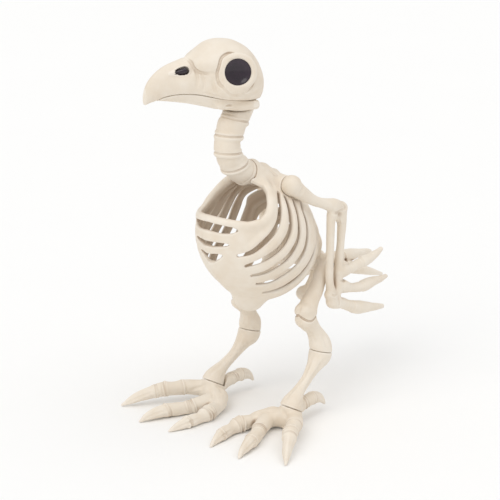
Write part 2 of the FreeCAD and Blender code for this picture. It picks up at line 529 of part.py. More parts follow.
# ---------------------------------------------------------------- wings
wing_bones = bone("wing_bones", [
    ("arm_girth", [(33, 19.6, 233.6, 8.6), (36, 28.4, 226.0, 7.3), (38.5, 35.7, 220.1, 5.9), (41, 44.5, 214.7, 5.0), (43.5, 54.9, 210.6, 5.3), (46, 66, 206.8, 6.6), (46, 76, 203, 5.2), (46, 80, 201, 3.4)]),
    ("fore_girth", [(46, 65.4, 207.3, 4.6), (46, 62.5, 197, 4.0), (46, 61.4, 178.3, 3.4), (46, 60.7, 156.4, 3.4), (46, 61.1, 133, 3.7), (46, 63.8, 122.1, 4.4), (46, 64.4, 114, 5.1), (46, 65, 109, 4.4)]),
    ("fore_girth", [(46, 77.5, 206.4, 3.8), (46, 79.1, 194.4, 4.7), (46, 78.1, 173.5, 4.0), (46, 76.9, 159.6, 4.0), (46, 74.9, 141.9, 4.3), (46, 73.4, 124.9, 5.2), (46, 71.3, 113.3, 5.2), (46, 71, 107, 4.4)]),
    ("finger_girth", [(46, 62.6, 109.8, 3.6), (46, 66.4, 108.4, 5.6), (46, 79.7, 105.1, 6.2), (47, 95.6, 97.3, 6.1), (48, 110.2, 93.4, 6.1), (48.5, 115.9, 92.1, 5.5), (49, 128.1, 89.3, 3.6), (50, 142, 86.5, 1.6)]),
    ("finger_girth", [(46, 74.5, 123.5, 4.6), (46, 79.2, 122.2, 6.9), (46.5, 86.4, 119.5, 5.5), (47, 95.1, 117.1, 4.7), (47.5, 105.4, 115.4, 4.8), (48.5, 116, 115.8, 5.6), (49.5, 126.6, 116.8, 4.3), (50, 137.1, 117, 3.0), (50, 146.7, 117.6, 1.6)]),
    ("finger_girth", [(46, 74.5, 137.6, 4.4), (46, 78.5, 137.6, 6.2), (46.5, 86, 137.2, 5.3), (47, 94.6, 138, 5.1), (47.5, 104.8, 139.5, 5.1), (48.5, 114.4, 141.1, 5.3), (49, 123.2, 143.2, 4.4), (50, 131.3, 146.3, 3.0), (50, 137.6, 148.6, 1.6)])])
wing_ball = sphere("wing_ball", 9.6, (33, 19.6, 233.6), S + "shoulder_ball")
wing_flat = box("wing_flat", (0, 0, 200), (27, 45, 260))
wing_thread = cylinder("wing_thread", 1.6, 9, along((26, 19.6, 233.6), (1, 0, 0)), S + "small_screw")
wing_left = cut("wing_left_body", fuse("wing_fused", wing_bones, wing_ball), fuse("wing_cuts", wing_flat, wing_thread))
wing_right = mirror("wing_right_body", wing_left)
WING_TURN = Rotation(V(1, 0, 0), VAL["right_wing_back"])
# the screw turns with the wing: its head and the friction washer lie inside the chest
WELL = 17.5
sh_screw = revolved("shoulder_screw_body", [(0, 0), (3, 0), (3, 2), (1.6, 2), (1.6, 18.4), (0, 18.4)],
                    along((WELL - 0.3 - 0.8 - 2, 19.6, 233.6), (1, 0, 0)))
sh_screw_r = mirror("shoulder_screw_body_right", sh_screw)
sh_wash = revolved("shoulder_washer_body", [(1.62, 0), (4.2, 0), (4.2, 0.8), (1.62, 0.8)], along((WELL - 0.3 - 0.8, 19.6, 233.6), (1, 0, 0)))
sh_wash_r = mirror("shoulder_washer_body_right", sh_wash)

# ---------------------------------------------------------------- legs
HOCK = V(46.3, 48.7, 64.3)
HOCK_N = V(0, math.sin(math.radians(15.6)), math.cos(math.radians(15.6)))
ANK = V(51.3, -0.2, 20.2)
ANK_N = V(0, 0.5, math.cos(math.radians(30)))
thigh_bones = bone("thigh_bones", [
    ("thigh_girth", [(31.2, 75, 143.4, 7.4), (31.4, 72, 141, 8.2), (32, 66.2, 136.8, 7.4), (33.5, 60.8, 130.3, 7.0), (35.5, 53.3, 122.4, 7.6), (38, 43.7, 115.6, 8.2), (40, 36.4, 110.4, 9.4), (40.6, 33.8, 106.2, 9.4)]),
    ("thigh_girth", [(40.3, 36, 110, 8.6), (40.6, 34.2, 105.6, 9.6), (41, 33.6, 100.4, 9.7), (42, 36.3, 94.6, 8.3), (43, 40.6, 88.6, 7.5), (44.5, 46, 78.7, 9.0), (45.8, 49, 70.4, 10.8), (46.3, 48.6, 62, 10.4)])])
thigh_head = cylinder("thigh_head", 9, 11, along((25.5, 74, 143), (1, 0, 0)), S + "hip_head", S + "hip_width")
hock_trim = box("hock_trim", (-40, -40, -60), (40, 40, 0))
hock_trim.Placement = Placement(HOCK, Rotation(V(0, 0, 1), HOCK_N)).multiply(Placement(V(-40, -40, -60), Rotation()))
hip_run = cylinder("hip_run", 1.67, 30, along((20, 74, 143), (1, 0, 0)), S + "small_screw + " + S + "run_gap")


def plug_bore(name, point, axis, start):
    # bore for a beaded plug pin: plain bore with a groove near its end
    return revolved(name, [(0, -1), (3.27, -1), (3.27, 5.6), (4.4, 6.2), (4.4, 8.4), (3.27, 9), (3.27, 11), (0, 11)], along(point, axis))


def plug_pin(name, point, axis):
    return revolved(name, [(0, -7), (3.2, -7), (3.2, 5.7), (4.0, 6.7), (4.0, 7.9), (3.2, 8.7), (2.4, 10.4), (0, 10.4)], along(point, axis))


hock_bore = plug_bore("hock_bore", HOCK, HOCK_N, 0)
hip_face = box("hip_face", (5, 52, 122), (25.5, 96, 165))
hip_recess = cylinder("hip_recess", 5.2, 12, along((36.5, 74, 143), (1, 0, 0)), S + "washer_radius + 1")
thigh_left = cut("thigh_left_body", fuse("thigh_fused", thigh_bones, thigh_head), fuse("thigh_cuts", hock_trim, hip_run, hock_bore, hip_face, hip_recess))
thigh_right = mirror("thigh_right_body", thigh_left)

shank_bones = bone("shank_bones", [
    ("shank_girth", [(46.3, 50, 68, 10.2), (46.4, 48.8, 60.2, 11.4), (46.8, 43.2, 55.2, 9.0), (47.2, 37.6, 50.4, 7.0), (48.3, 27.3, 42.4, 5.3), (49.8, 13.6, 33.8, 5.9), (50.6, 6.6, 28.6, 7.9), (51.2, 0.8, 22.6, 10.6), (51.4, -1.8, 18, 11.2)])])
shank_top = box("shank_top", (-40, -40, 0), (40, 40, 60))
shank_top.Placement = Placement(HOCK.sub(V(HOCK_N).multiply(VAL["joint_gap"])), Rotation(V(0, 0, 1), HOCK_N)).multiply(Placement(V(-40, -40, 0), Rotation()))
shank_end = box("shank_end", (-40, -40, -60), (40, 40, 0))
shank_end.Placement = Placement(ANK, Rotation(V(0, 0, 1), ANK_N)).multiply(Placement(V(-40, -40, -60), Rotation()))
shank_hole = cylinder("shank_hole", 3.2, 9, Placement(HOCK.sub(V(HOCK_N).multiply(7)), Rotation(V(0, 0, 1), HOCK_N)), S + "plug_pin")
ankle_bore = plug_bore("ankle_bore", ANK, ANK_N, 0)
shank_left = cut("shank_left_body", shank_bones, fuse("shank_cuts", shank_top, shank_end, shank_hole, ankle_bore))
shank_right = mirror("shank_right_body", shank_left)
hock_pin = plug_pin("hock_pin_body", HOCK, HOCK_N)
hock_pin_r = mirror("hock_pin_body_right", hock_pin)
ankle_pin = plug_pin("ankle_pin_body", ANK, ANK_N)
ankle_pin_r = mirror("ankle_pin_body_right", ankle_pin)

foot_bones = bone("foot_bones", [
    ("toe_girth", [(51.5, 2.6, 24, 10.6), (51.3, 0.4, 20, 10.9), (51, -1.0, 16, 11.0), (50.6, -1.6, 11, 11.0), (50.4, -1.8, 5, 9.6)]),
    ("toe_girth", [(53, -1.4, 10.2, 10.2), (47.5, -2.4, 10.2, 10.9), (40, -3.4, 10, 10.6), (31.5, -6.4, 9.2, 9.6), (26, -13, 8.1, 8.3), (23.4, -23.6, 7.2, 7.2), (22.1, -32.1, 6.5, 6.6), (20.4, -41, 6.6, 7.1), (20.9, -54.8, 5.5, 5.6), (22.2, -66.6, 5.5, 5.9), (24.7, -79, 3.4, 3.6), (27.8, -88.6, 1.0, 1.0)]),
    ("toe_girth", [(31.5, -8, 9.2, 8.6), (36, -21, 7.8, 7.5), (41, -34, 6.9, 6.9), (48.7, -47.4, 6.2, 6.3), (56.0, -61.4, 6.2, 6.6), (61.1, -74.4, 4.8, 5.0), (64.3, -85.5, 2.3, 2.4), (64.8, -88.8, 1, 1)]),
    ("toe_girth", [(51, 2, 10.2, 9.4), (57, -1.4, 9.2, 8.0), (64.8, -8.8, 7.6, 7.2), (71.7, -18.6, 6.8, 6.9), (78.7, -31.7, 6.2, 6.3), (85.8, -42.7, 6.0, 6.3), (92.7, -52.1, 5.4, 5.8), (99.9, -62.6, 3.4, 3.6), (107.6, -72.6, 1.0, 1.0)]),
    ("toe_girth", [(50, -2, 12.4, 8.4), (48.6, 12, 13.6, 7.0), (48, 24, 15.2, 6.4), (47.6, 34, 15.2, 6.2), (47.2, 44, 12.8, 5.6), (47.1, 52, 8.6, 4.2), (47.1, 56.4, 3.2, 1.6)])])
foot_trim_top = box("foot_trim_top", (-40, -40, 0), (40, 40, 60))
foot_trim_top.Placement = Placement(ANK.sub(V(ANK_N).multiply(VAL["joint_gap"])), Rotation(V(0, 0, 1), ANK_N)).multiply(Placement(V(-13, -14, 0), Rotation()))
foot_trim_top.Length, foot_trim_top.Width, foot_trim_top.Height = 26, 26, 40
floor_trim = box("floor_trim", (-20, -140, -40), (160, 120, 0))
foot_hole = cylinder("foot_hole", 3.2, 9, Placement(ANK.sub(V(ANK_N).multiply(7)), Rotation(V(0, 0, 1), ANK_N)), S + "plug_pin")
foot_left = cut("foot_left_body", foot_bones, fuse("foot_cuts", foot_trim_top, floor_trim, foot_hole))
foot_right = mirror("foot_right_body", foot_left)

# hip screws: pan head on the outside of each thigh, thread in the pelvis, friction washer under the head
hs, hw = [], []
for side, tag in ((1, "a"), (-1, "b")):
    hs.append(revolved("hip_screw_" + tag, [(0, 0), (3, 0), (3, 2), (1.6, 2), (1.6, 26), (0, 26)],
                       along(((36.5 + 0.35 + 0.8 + 2) * side, 74, 143), (-side, 0, 0))))
    hw.append(revolved("hip_washer_" + tag, [(1.62, 0), (4.2, 0), (4.2, 0.8), (1.62, 0.8)],
                       along(((36.5 + 0.35 + 0.8) * side, 74, 143), (-side, 0, 0))))
hip_screws = doc.addObject("Part::Compound", "hip_screw_pair")
hip_screws.Links = hs
hip_washers = doc.addObject("Part::Compound", "hip_washer_pair")
hip_washers.Links = hw

BODY_NODES = [("neck_left_half", neck_left), ("neck_right_half", neck_right), ("torso_left_half", torso_left), ("torso_right_half", torso_right),
              ("pelvis", pelvis), ("tail_fan", tail_fan), ("wing_left", wing_left), ("wing_right", wing_right),
              ("shoulder_screw_left", sh_screw), ("shoulder_screw_right", sh_screw_r), ("shoulder_washer_left", sh_wash), ("shoulder_washer_right", sh_wash_r),
              ("hip_screws", hip_screws), ("hip_washers", hip_washers), ("thigh_left", thigh_left), ("thigh_right", thigh_right),
              ("hock_pin_left", hock_pin), ("hock_pin_right", hock_pin_r), ("shank_left", shank_left), ("shank_right", shank_right),
              ("ankle_pin_left", ankle_pin), ("ankle_pin_right", ankle_pin_r), ("foot_left", foot_left), ("foot_right", foot_right)]

doc.recompute()

# ---------------------------------------------------------------- final placement of every sub-part
FINAL = []
for label, src in HEAD_NODES:
    b = doc.addObject("Part::Compound", "n_" + label)
    b.Links = [src]
    b.Placement = Placement(V(0, VAL["neck_top_y"] + VAL["shift_back"], VAL["neck_top_z"]), Rotation(V(0, 0, 1), VAL["head_yaw"]))
    ex(b, "Placement.Base.y", S + "neck_top_y + " + S + "shift_back")
    ex(b, "Placement.Base.z", S + "neck_top_z")
    b.Label = label
    FINAL.append((label, b))
for label, src in BODY_NODES:
    b = doc.addObject("Part::Compound", "n_" + label)
    b.Links = [src]
    ex(b, "Placement.Base.y", S + "shift_back")
    if label == "wing_right":
        # turned about the shoulder axis, so that it rests a little further back than the left one
        c = V(0, VAL["shoulder_y"], VAL["shoulder_z"])
        off = c.sub(WING_TURN.multVec(c))
        b.Placement = Placement(V(0, off.y + VAL["shift_back"], off.z), WING_TURN)
        ex(b, "Placement.Base.y", "%sshift_back + %.6f" % (S, off.y))
    b.Label = label
    FINAL.append((label, b))
doc.recompute()

bad = []
for o in doc.Objects:
    st = " ".join(o.State)
    if "Invalid" in st or "Error" in st:
        bad.append("%s (%s)" % (o.Name, st))
for label, b in FINAL:
    if b.Shape.isNull() or not b.Shape.isValid() or not b.Shape.Solids:
        bad.append("%s: bad shape, solids %d" % (label, 0 if b.Shape.isNull() else len(b.Shape.Solids)))
if bad:
    raise RuntimeError("; ".join(bad))

os.makedirs("parts", exist_ok=True)
for label, b in FINAL:
    b.Shape.exportStep("parts/%s.step" % label)
    print(label, len(b.Shape.Solids), round(b.Shape.Volume / 1000.0, 2))
allbox = FreeCAD.BoundBox()
for label, b in FINAL:
    allbox.add(b.Shape.BoundBox)
print("size", allbox)
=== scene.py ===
import math
import bpy
import numpy as np
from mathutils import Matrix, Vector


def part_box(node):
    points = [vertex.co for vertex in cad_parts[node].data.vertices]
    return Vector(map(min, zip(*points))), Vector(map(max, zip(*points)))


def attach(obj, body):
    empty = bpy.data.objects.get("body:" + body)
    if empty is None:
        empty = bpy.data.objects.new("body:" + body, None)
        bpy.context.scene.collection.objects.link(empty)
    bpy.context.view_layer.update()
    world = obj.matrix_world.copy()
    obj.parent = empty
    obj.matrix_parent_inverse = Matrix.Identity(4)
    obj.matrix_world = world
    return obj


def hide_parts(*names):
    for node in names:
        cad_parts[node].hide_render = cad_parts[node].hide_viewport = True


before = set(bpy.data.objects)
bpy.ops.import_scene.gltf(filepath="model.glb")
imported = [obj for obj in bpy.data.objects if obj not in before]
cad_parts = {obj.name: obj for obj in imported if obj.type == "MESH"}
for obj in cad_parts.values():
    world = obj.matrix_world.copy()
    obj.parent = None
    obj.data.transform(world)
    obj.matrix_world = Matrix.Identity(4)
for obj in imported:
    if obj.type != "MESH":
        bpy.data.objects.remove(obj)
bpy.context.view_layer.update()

import openvdb as vdb
from mathutils import Vector

F4 = np.float32
BIG = 14.0

# ---------------------------------------------------------------- where things are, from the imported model
# Shapes below are written in millimetres in the bird's own frame; the hip screws give its place front to back.
_lo, _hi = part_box("hip_screws")
SHIFT_Y = (_lo[1] + _hi[1]) * 500.0 - 74.0
YAW = math.radians(-25)
HEAD_AT = np.array([0.0, -17.6 + SHIFT_Y, 308.7])


# ---------------------------------------------------------------- sculpting kit: a distance field on a grid
def lerp(a, b, t):
    return a + (b - a) * t


def pchip(x, y):
    """Smooth curve through (x, y) that never overshoots."""
    x, y = np.asarray(x, float), np.asarray(y, float)
    if x[0] > x[-1]:
        x, y = x[::-1], y[::-1]
    h, d = np.diff(x), np.diff(y) / np.diff(x)
    m = np.zeros(len(x))
    m[0], m[-1] = d[0], d[-1]
    for i in range(1, len(x) - 1):
        if d[i - 1] * d[i] > 0:
            w1, w2 = 2 * h[i] + h[i - 1], h[i] + 2 * h[i - 1]
            m[i] = (w1 + w2) / (w1 / d[i - 1] + w2 / d[i])

    def f(q):
        q = np.clip(q, x[0], x[-1])
        i = np.clip(np.searchsorted(x, q) - 1, 0, len(x) - 2)
        t = (q - x[i]) / h[i]
        return (y[i] * (1 + 2 * t) * (1 - t) ** 2 + h[i] * m[i] * t * (1 - t) ** 2
                + y[i + 1] * t * t * (3 - 2 * t) + h[i] * m[i + 1] * t * t * (t - 1))
    return f


def smooth_chain(pts, step=1.6):
    """Points with radii (x, y, z, r, ...) run through a smooth spline and sampled evenly."""
    P = np.asarray(pts, float)
    n = len(P)
    if n < 3:
        k = max(2, int(np.linalg.norm(P[-1, :3] - P[0, :3]) / step) + 1)
        return np.array([lerp(P[0], P[-1], t) for t in np.linspace(0, 1, k)])
    E = np.vstack([2 * P[0] - P[1], P, 2 * P[-1] - P[-2]])
    out = []
    for i in range(1, n):
        a, b, c, d = E[i - 1], E[i], E[i + 1], E[i + 2]
        k = max(2, int(np.linalg.norm(c[:3] - b[:3]) / step) + 1)
        # centripetal spacing keeps tight corners free of loops
        t0 = 0.0
        t1 = t0 + max(np.linalg.norm(b[:3] - a[:3]), 1e-3) ** 0.5
        t2 = t1 + max(np.linalg.norm(c[:3] - b[:3]), 1e-3) ** 0.5
        t3 = t2 + max(np.linalg.norm(d[:3] - c[:3]), 1e-3) ** 0.5
        for t in np.linspace(t1, t2, k, endpoint=False):
            A1 = (t1 - t) / (t1 - t0) * a + (t - t0) / (t1 - t0) * b
            A2 = (t2 - t) / (t2 - t1) * b + (t - t1) / (t2 - t1) * c
            A3 = (t3 - t) / (t3 - t2) * c + (t - t2) / (t3 - t2) * d
            B1 = (t2 - t) / (t2 - t0) * A1 + (t - t0) / (t2 - t0) * A2
            B2 = (t3 - t) / (t3 - t1) * A2 + (t - t1) / (t3 - t1) * A3
            out.append((t2 - t) / (t2 - t1) * B1 + (t - t1) / (t2 - t1) * B2)
    out.append(P[-1])
    return np.array(out)


def smin(a, b, k):
    if k <= 0:
        return np.minimum(a, b)
    h = np.clip(0.5 + 0.5 * (b - a) / F4(k), 0, 1)
    return b + (a - b) * h - F4(k) * h * (1 - h)


def smax(a, b, k):
    return -smin(-a, -b, k)


def poly2(u, v, pts):
    """Signed distance in a plane to a closed outline."""
    n = len(pts)
    d = np.full(np.broadcast(u, v).shape, 1e9)
    s = np.ones(d.shape)
    for i in range(n):
        (ax, ay), (bx, by) = pts[i], pts[(i + 1) % n]
        ex, ey = bx - ax, by - ay
        wx, wy = u - ax, v - ay
        t = np.clip((wx * ex + wy * ey) / (ex * ex + ey * ey), 0, 1)
        d = np.minimum(d, (wx - ex * t) ** 2 + (wy - ey * t) ** 2)
        c1, c2, c3 = v >= ay, v < by, ex * wy > ey * wx
        flip = (c1 & c2 & c3) | (~c1 & ~c2 & ~c3)
        s = np.where(flip, -s, s)
    return (s * np.sqrt(d)).astype(F4)


def line2(u, v, pts):
    """Distance in a plane to an open line."""
    d = np.full(np.broadcast(u, v).shape, 1e9)
    for (ax, ay), (bx, by) in zip(pts[:-1], pts[1:]):
        ex, ey = bx - ax, by - ay
        t = np.clip(((u - ax) * ex + (v - ay) * ey) / (ex * ex + ey * ey), 0, 1)
        d = np.minimum(d, (u - ax - ex * t) ** 2 + (v - ay - ey * t) ** 2)
    return np.sqrt(d).astype(F4)


def unit(v):
    v = np.asarray(v, float)
    return v / np.linalg.norm(v)


class Field:
    """A solid held as signed distances, in mm, below zero inside."""

    def __init__(s, lo, hi, h, half=False):
        s.h, s.half = h, half
        lo = np.array(lo, float)
        if half:
            lo[0] = -3 * h
        s.lo = lo
        s.n = np.ceil((np.array(hi, float) - lo) / h).astype(int) + 1
        s.ax = [(lo[i] + h * np.arange(s.n[i])).astype(F4) for i in range(3)]
        s.F = np.full(tuple(s.n), BIG, F4)

    def win(s, lo, hi, pad):
        a = np.clip(np.floor((np.asarray(lo) - pad - s.lo) / s.h).astype(int), 0, s.n)
        b = np.clip(np.ceil((np.asarray(hi) + pad - s.lo) / s.h).astype(int) + 1, 0, s.n)
        w = tuple(slice(int(p), int(q)) for p, q in zip(a, b))
        X = s.ax[0][w[0]][:, None, None]
        Y = s.ax[1][w[1]][None, :, None]
        Z = s.ax[2][w[2]][None, None, :]
        return w, X, Y, Z, min(b - a) > 0

    def whole(s):
        return s.win(s.lo, s.lo + s.h * (s.n - 1), 0)

    def put(s, fn, lo, hi, k=1.0, mode="add", pad=None):
        w, X, Y, Z, ok = s.win(lo, hi, pad if pad is not None else max(6.0, k + 1))
        if not ok:
            return s
        D = np.broadcast_to(np.asarray(fn(X, Y, Z), F4), s.F[w].shape)
        if mode == "add":
            s.F[w] = smin(s.F[w], D, k)
        elif mode == "cut":
            s.F[w] = smax(s.F[w], -D, k)
        else:
            s.F[w] = smax(s.F[w], D, k)
        return s

    # ---- forms
    def chain(s, pts, k=1.5, mode="add", step=1.6, pad=6.0, wide=None, raw=False):
        C = np.asarray(pts, float) if raw else smooth_chain(pts, step)
        P, R = C[:, :3], np.maximum(C[:, 3], 0.2)
        W = np.ones(len(P)) if wide is None else np.maximum(pchip(np.linspace(0, 1, len(wide)), wide)(np.linspace(0, 1, len(P))), 0.2)
        g = (R * np.maximum(W, 1))[:, None]
        w, X, Y, Z, ok = s.win((P - g).min(0), (P + g).max(0), pad)
        if not ok:
            return s
        base = np.array([q.start for q in w])
        D = np.full(s.F[w].shape, BIG, F4)
        for i in range(len(P) - 1):
            a, b = P[i], P[i + 1]
            L2 = float((b - a) @ (b - a))
            if L2 < 1e-8:
                continue
            m = max(R[i] * max(W[i], 1), R[i + 1] * max(W[i + 1], 1))
            v, x, y, z, ok = s.win(np.minimum(a, b) - m, np.maximum(a, b) + m, pad)
            if not ok:
                continue
            dx, dy, dz = x - F4(a[0]), y - F4(a[1]), z - F4(a[2])
            e = (b - a)
            t = np.clip((dx * F4(e[0]) + dy * F4(e[1]) + dz * F4(e[2])) / F4(L2), 0, 1)
            sx = F4(1.0) / (F4(W[i]) + t * F4(W[i + 1] - W[i]))
            ux = (dx - t * F4(e[0])) * sx
            d = np.sqrt(ux ** 2 + (dy - t * F4(e[1])) ** 2 + (dz - t * F4(e[2])) ** 2) - (F4(R[i]) + t * F4(R[i + 1] - R[i]))
            q = tuple(slice(v[j].start - base[j], v[j].stop - base[j]) for j in range(3))
            # windows of the parts can poke out of the chain's window
            cl = tuple(slice(max(q[j].start, 0), min(q[j].stop, D.shape[j])) for j in range(3))
            sub = tuple(slice(cl[j].start - q[j].start, cl[j].stop - q[j].start) for j in range(3))
            D[cl] = np.minimum(D[cl], d[sub])
        if mode == "add":
            s.F[w] = smin(s.F[w], D, k)
        else:
            s.F[w] = smax(s.F[w], -D, k)
        return s

    def ball(s, c, r, k=1.5, mode="add"):
        c = np.asarray(c, float)
        return s.put(lambda X, Y, Z: np.sqrt((X - F4(c[0])) ** 2 + (Y - F4(c[1])) ** 2 + (Z - F4(c[2])) ** 2) - F4(r), c - r, c + r, k, mode)

    def egg(s, c, radii, axes=None, k=1.5, mode="add"):
        """Ellipsoid; axes are the rows of a turning matrix."""
        c, radii = np.asarray(c, float), np.asarray(radii, float)
        A = np.eye(3) if axes is None else np.array([unit(v) for v in axes])
        m = radii.max()

        def fn(X, Y, Z):
            dx, dy, dz = X - F4(c[0]), Y - F4(c[1]), Z - F4(c[2])
            u = [(dx * F4(A[i, 0]) + dy * F4(A[i, 1]) + dz * F4(A[i, 2])) / F4(radii[i]) for i in range(3)]
            k0 = np.sqrt(u[0] ** 2 + u[1] ** 2 + u[2] ** 2)
            k1 = np.sqrt((u[0] / F4(radii[0])) ** 2 + (u[1] / F4(radii[1])) ** 2 + (u[2] / F4(radii[2])) ** 2) + F4(1e-6)
            return k0 * (k0 - 1) / k1
        return s.put(fn, c - m, c + m, k, mode)

    def rod(s, p, axis, r, length, k=0.6, mode="add", rnd=0.0):
        """Cylinder from p along axis."""
        p, n = np.asarray(p, float), unit(axis)
        q = p + n * length

        def fn(X, Y, Z):
            dx, dy, dz = X - F4(p[0]), Y - F4(p[1]), Z - F4(p[2])
            t = dx * F4(n[0]) + dy * F4(n[1]) + dz * F4(n[2])
            rho = np.sqrt(np.maximum(dx * dx + dy * dy + dz * dz - t * t, 0)) - F4(r - rnd)
            hh = np.abs(t - F4(length / 2)) - F4(length / 2 - rnd)
            return np.minimum(np.maximum(rho, hh), 0) + np.sqrt(np.maximum(rho, 0) ** 2 + np.maximum(hh, 0) ** 2) - F4(rnd)
        return s.put(fn, np.minimum(p, q) - r, np.maximum(p, q) + r, k, mode)

    def slab(s, p, n, k=0.6):
        """Keeps what lies behind the plane through p with outward normal n."""
        p, n = np.asarray(p, float), unit(n)
        w, X, Y, Z, ok = s.whole()
        D = (X - F4(p[0])) * F4(n[0]) + (Y - F4(p[1])) * F4(n[1]) + (Z - F4(p[2])) * F4(n[2])
        s.F = smax(s.F, np.broadcast_to(D, s.F.shape), k)
        return s

    def hoop(s, c, axis, R, r, k=1.0, mode="cut", squash=1.0):
        """Torus round axis: cuts a ring groove or adds a ring bead."""
        c, n = np.asarray(c, float), unit(axis)

        def fn(X, Y, Z):
            dx, dy, dz = X - F4(c[0]), Y - F4(c[1]), Z - F4(c[2])
            t = dx * F4(n[0]) + dy * F4(n[1]) + dz * F4(n[2])
            rho = np.sqrt(np.maximum(dx * dx + dy * dy + dz * dz - t * t, 0))
            return np.sqrt((rho - F4(R)) ** 2 + (t * F4(squash)) ** 2) - F4(r)
        return s.put(fn, c - R - r, c + R + r, k, mode, pad=max(2.0, k + 1))

    # ---- reading it
    def at(s, P):
        q = (np.asarray(P, float) - s.lo) / s.h
        q = np.clip(q, 0, np.array(s.n) - 1.001)
        i = q.astype(int)
        f = (q - i).astype(F4)
        out = 0
        for a in (0, 1):
            for b in (0, 1):
                for c in (0, 1):
                    wgt = ((f[:, 0] if a else 1 - f[:, 0]) * (f[:, 1] if b else 1 - f[:, 1]) * (f[:, 2] if c else 1 - f[:, 2]))
                    out = out + wgt * s.F[i[:, 0] + a, i[:, 1] + b, i[:, 2] + c]
        return out

    def at_sym(s, P):
        if s.half:
            P = np.array(P, float)
            P[:, 0] = np.abs(P[:, 0])
        return s.at(P)

    def normals(s, P, e=None):
        e = e or s.h
        g = np.stack([s.at_sym(P + np.eye(3)[i] * e) - s.at_sym(P - np.eye(3)[i] * e) for i in range(3)], 1)
        return g / np.maximum(np.linalg.norm(g, axis=1, keepdims=True), 1e-6)

    def snap(s, pts, times=6):
        """Moves points on to the surface."""
        P = np.array(pts, float)[:, :3]
        for _ in range(times):
            P = P - s.normals(P, 1.0) * np.clip(s.at_sym(P), -3, 3)[:, None]
        return P

    def crease(s, pts, r=1.0, depth=0.7, k=1.2, taper=True, step=1.2):
        """A soft groove drawn on the surface through pts."""
        C = smooth_chain([tuple(p[:3]) + (r,) for p in pts], step)
        Q = s.snap(C[:, :3])
        N = s.normals(Q, 1.0)
        n = len(Q)
        t = np.linspace(0, 1, n)
        f = np.ones(n) if not taper else np.clip(np.minimum(t, 1 - t) * 5, 0.12, 1) ** 0.6
        s.chain([tuple(q + m * (r - depth * g)) + (r,) for q, m, g in zip(Q, N, f)], k, "cut", pad=max(3, k + 1), raw=True)
        return s

    def bead(s, pts, r=1.4, proud=0.7, k=2.0, taper=True, step=1.2):
        """A soft raised line drawn on the surface through pts."""
        C = smooth_chain([tuple(p[:3]) + (r,) for p in pts], step)
        Q = s.snap(C[:, :3])
        N = s.normals(Q, 1.0)
        n = len(Q)
        t = np.linspace(0, 1, n)
        f = np.ones(n) if not taper else np.clip(np.minimum(t, 1 - t) * 5, 0.0, 1) ** 0.7
        s.chain([tuple(q - m * (r - proud * g)) + (r,) for q, m, g in zip(Q, N, f)], k, "add", pad=max(3, k + 1), raw=True)
        return s

    def wobble(s, amp, wave, seed, n=7):
        """Slow hand-shaped unevenness of the surface."""
        rng = np.random.default_rng(seed)
        w, X, Y, Z, ok = s.whole()
        T = np.zeros(s.F.shape, F4)
        for _ in range(n):
            d = unit(rng.normal(size=3)) * (2 * math.pi / (wave * rng.uniform(0.7, 1.5)))
            T += np.sin(F4(d[0]) * X + F4(d[1]) * Y + F4(d[2]) * Z + F4(rng.uniform(0, 6.28)))
        s.F += T * F4(amp / n ** 0.5)
        return s

    def even(s):
        """Rescales so that the slope is near one."""
        g = np.gradient(s.F, s.h)
        m = np.sqrt(g[0] ** 2 + g[1] ** 2 + g[2] ** 2)
        s.F = np.where(s.F < BIG - 1, s.F / np.clip(m, 0.3, 8), s.F).astype(F4)
        return s

    def copy(s):
        o = Field.__new__(Field)
        o.h, o.half, o.lo, o.n, o.ax = s.h, s.half, s.lo, s.n, s.ax
        o.F = s.F.copy()
        return o

    # ---- meshing
    def mesh(s, clip=3.0):
        F = np.clip(s.F, -clip * s.h, clip * s.h)
        lo = s.lo.copy()
        if s.half:
            k = 3                                     # index of x = 0
            F = np.concatenate([F[:k:-1], F[k:]], axis=0)
            lo[0] = -(s.n[0] - 1 - k) * s.h
        F = np.ascontiguousarray(np.pad(F, 1, constant_values=clip * s.h))
        lo = lo - s.h
        g = vdb.FloatGrid(clip * s.h)
        g.copyFromArray(F)
        v, q = g.convertToQuads(0.0)
        return v.astype(float) * s.h + lo, q[:, ::1].astype(np.int64)


def relax(V, Q, times=2, lam=0.5):
    """Evens the points out along the faces."""
    n = len(V)
    E = np.concatenate([Q[:, [0, 1]], Q[:, [1, 2]], Q[:, [2, 3]], Q[:, [3, 0]]])
    E = np.concatenate([E, E[:, ::-1]])
    cnt = np.maximum(np.bincount(E[:, 0], minlength=n), 1)
    for i in range(times):
        for f in (lam, -lam * 1.04):
            M = np.stack([np.bincount(E[:, 0], V[E[:, 1], j], minlength=n) for j in range(3)], 1) / cnt[:, None]
            V = V + f * (M - V)
    return V


PIECES = {}


def to_world(V, place):
    V = np.array(V, float)
    if place == "head":
        c, s_ = math.cos(YAW), math.sin(YAW)
        V = np.stack([V[:, 0] * c - V[:, 1] * s_, V[:, 0] * s_ + V[:, 1] * c, V[:, 2]], 1) + HEAD_AT
    else:
        V = V + np.array([0, SHIFT_Y, 0])
    return V * 0.001


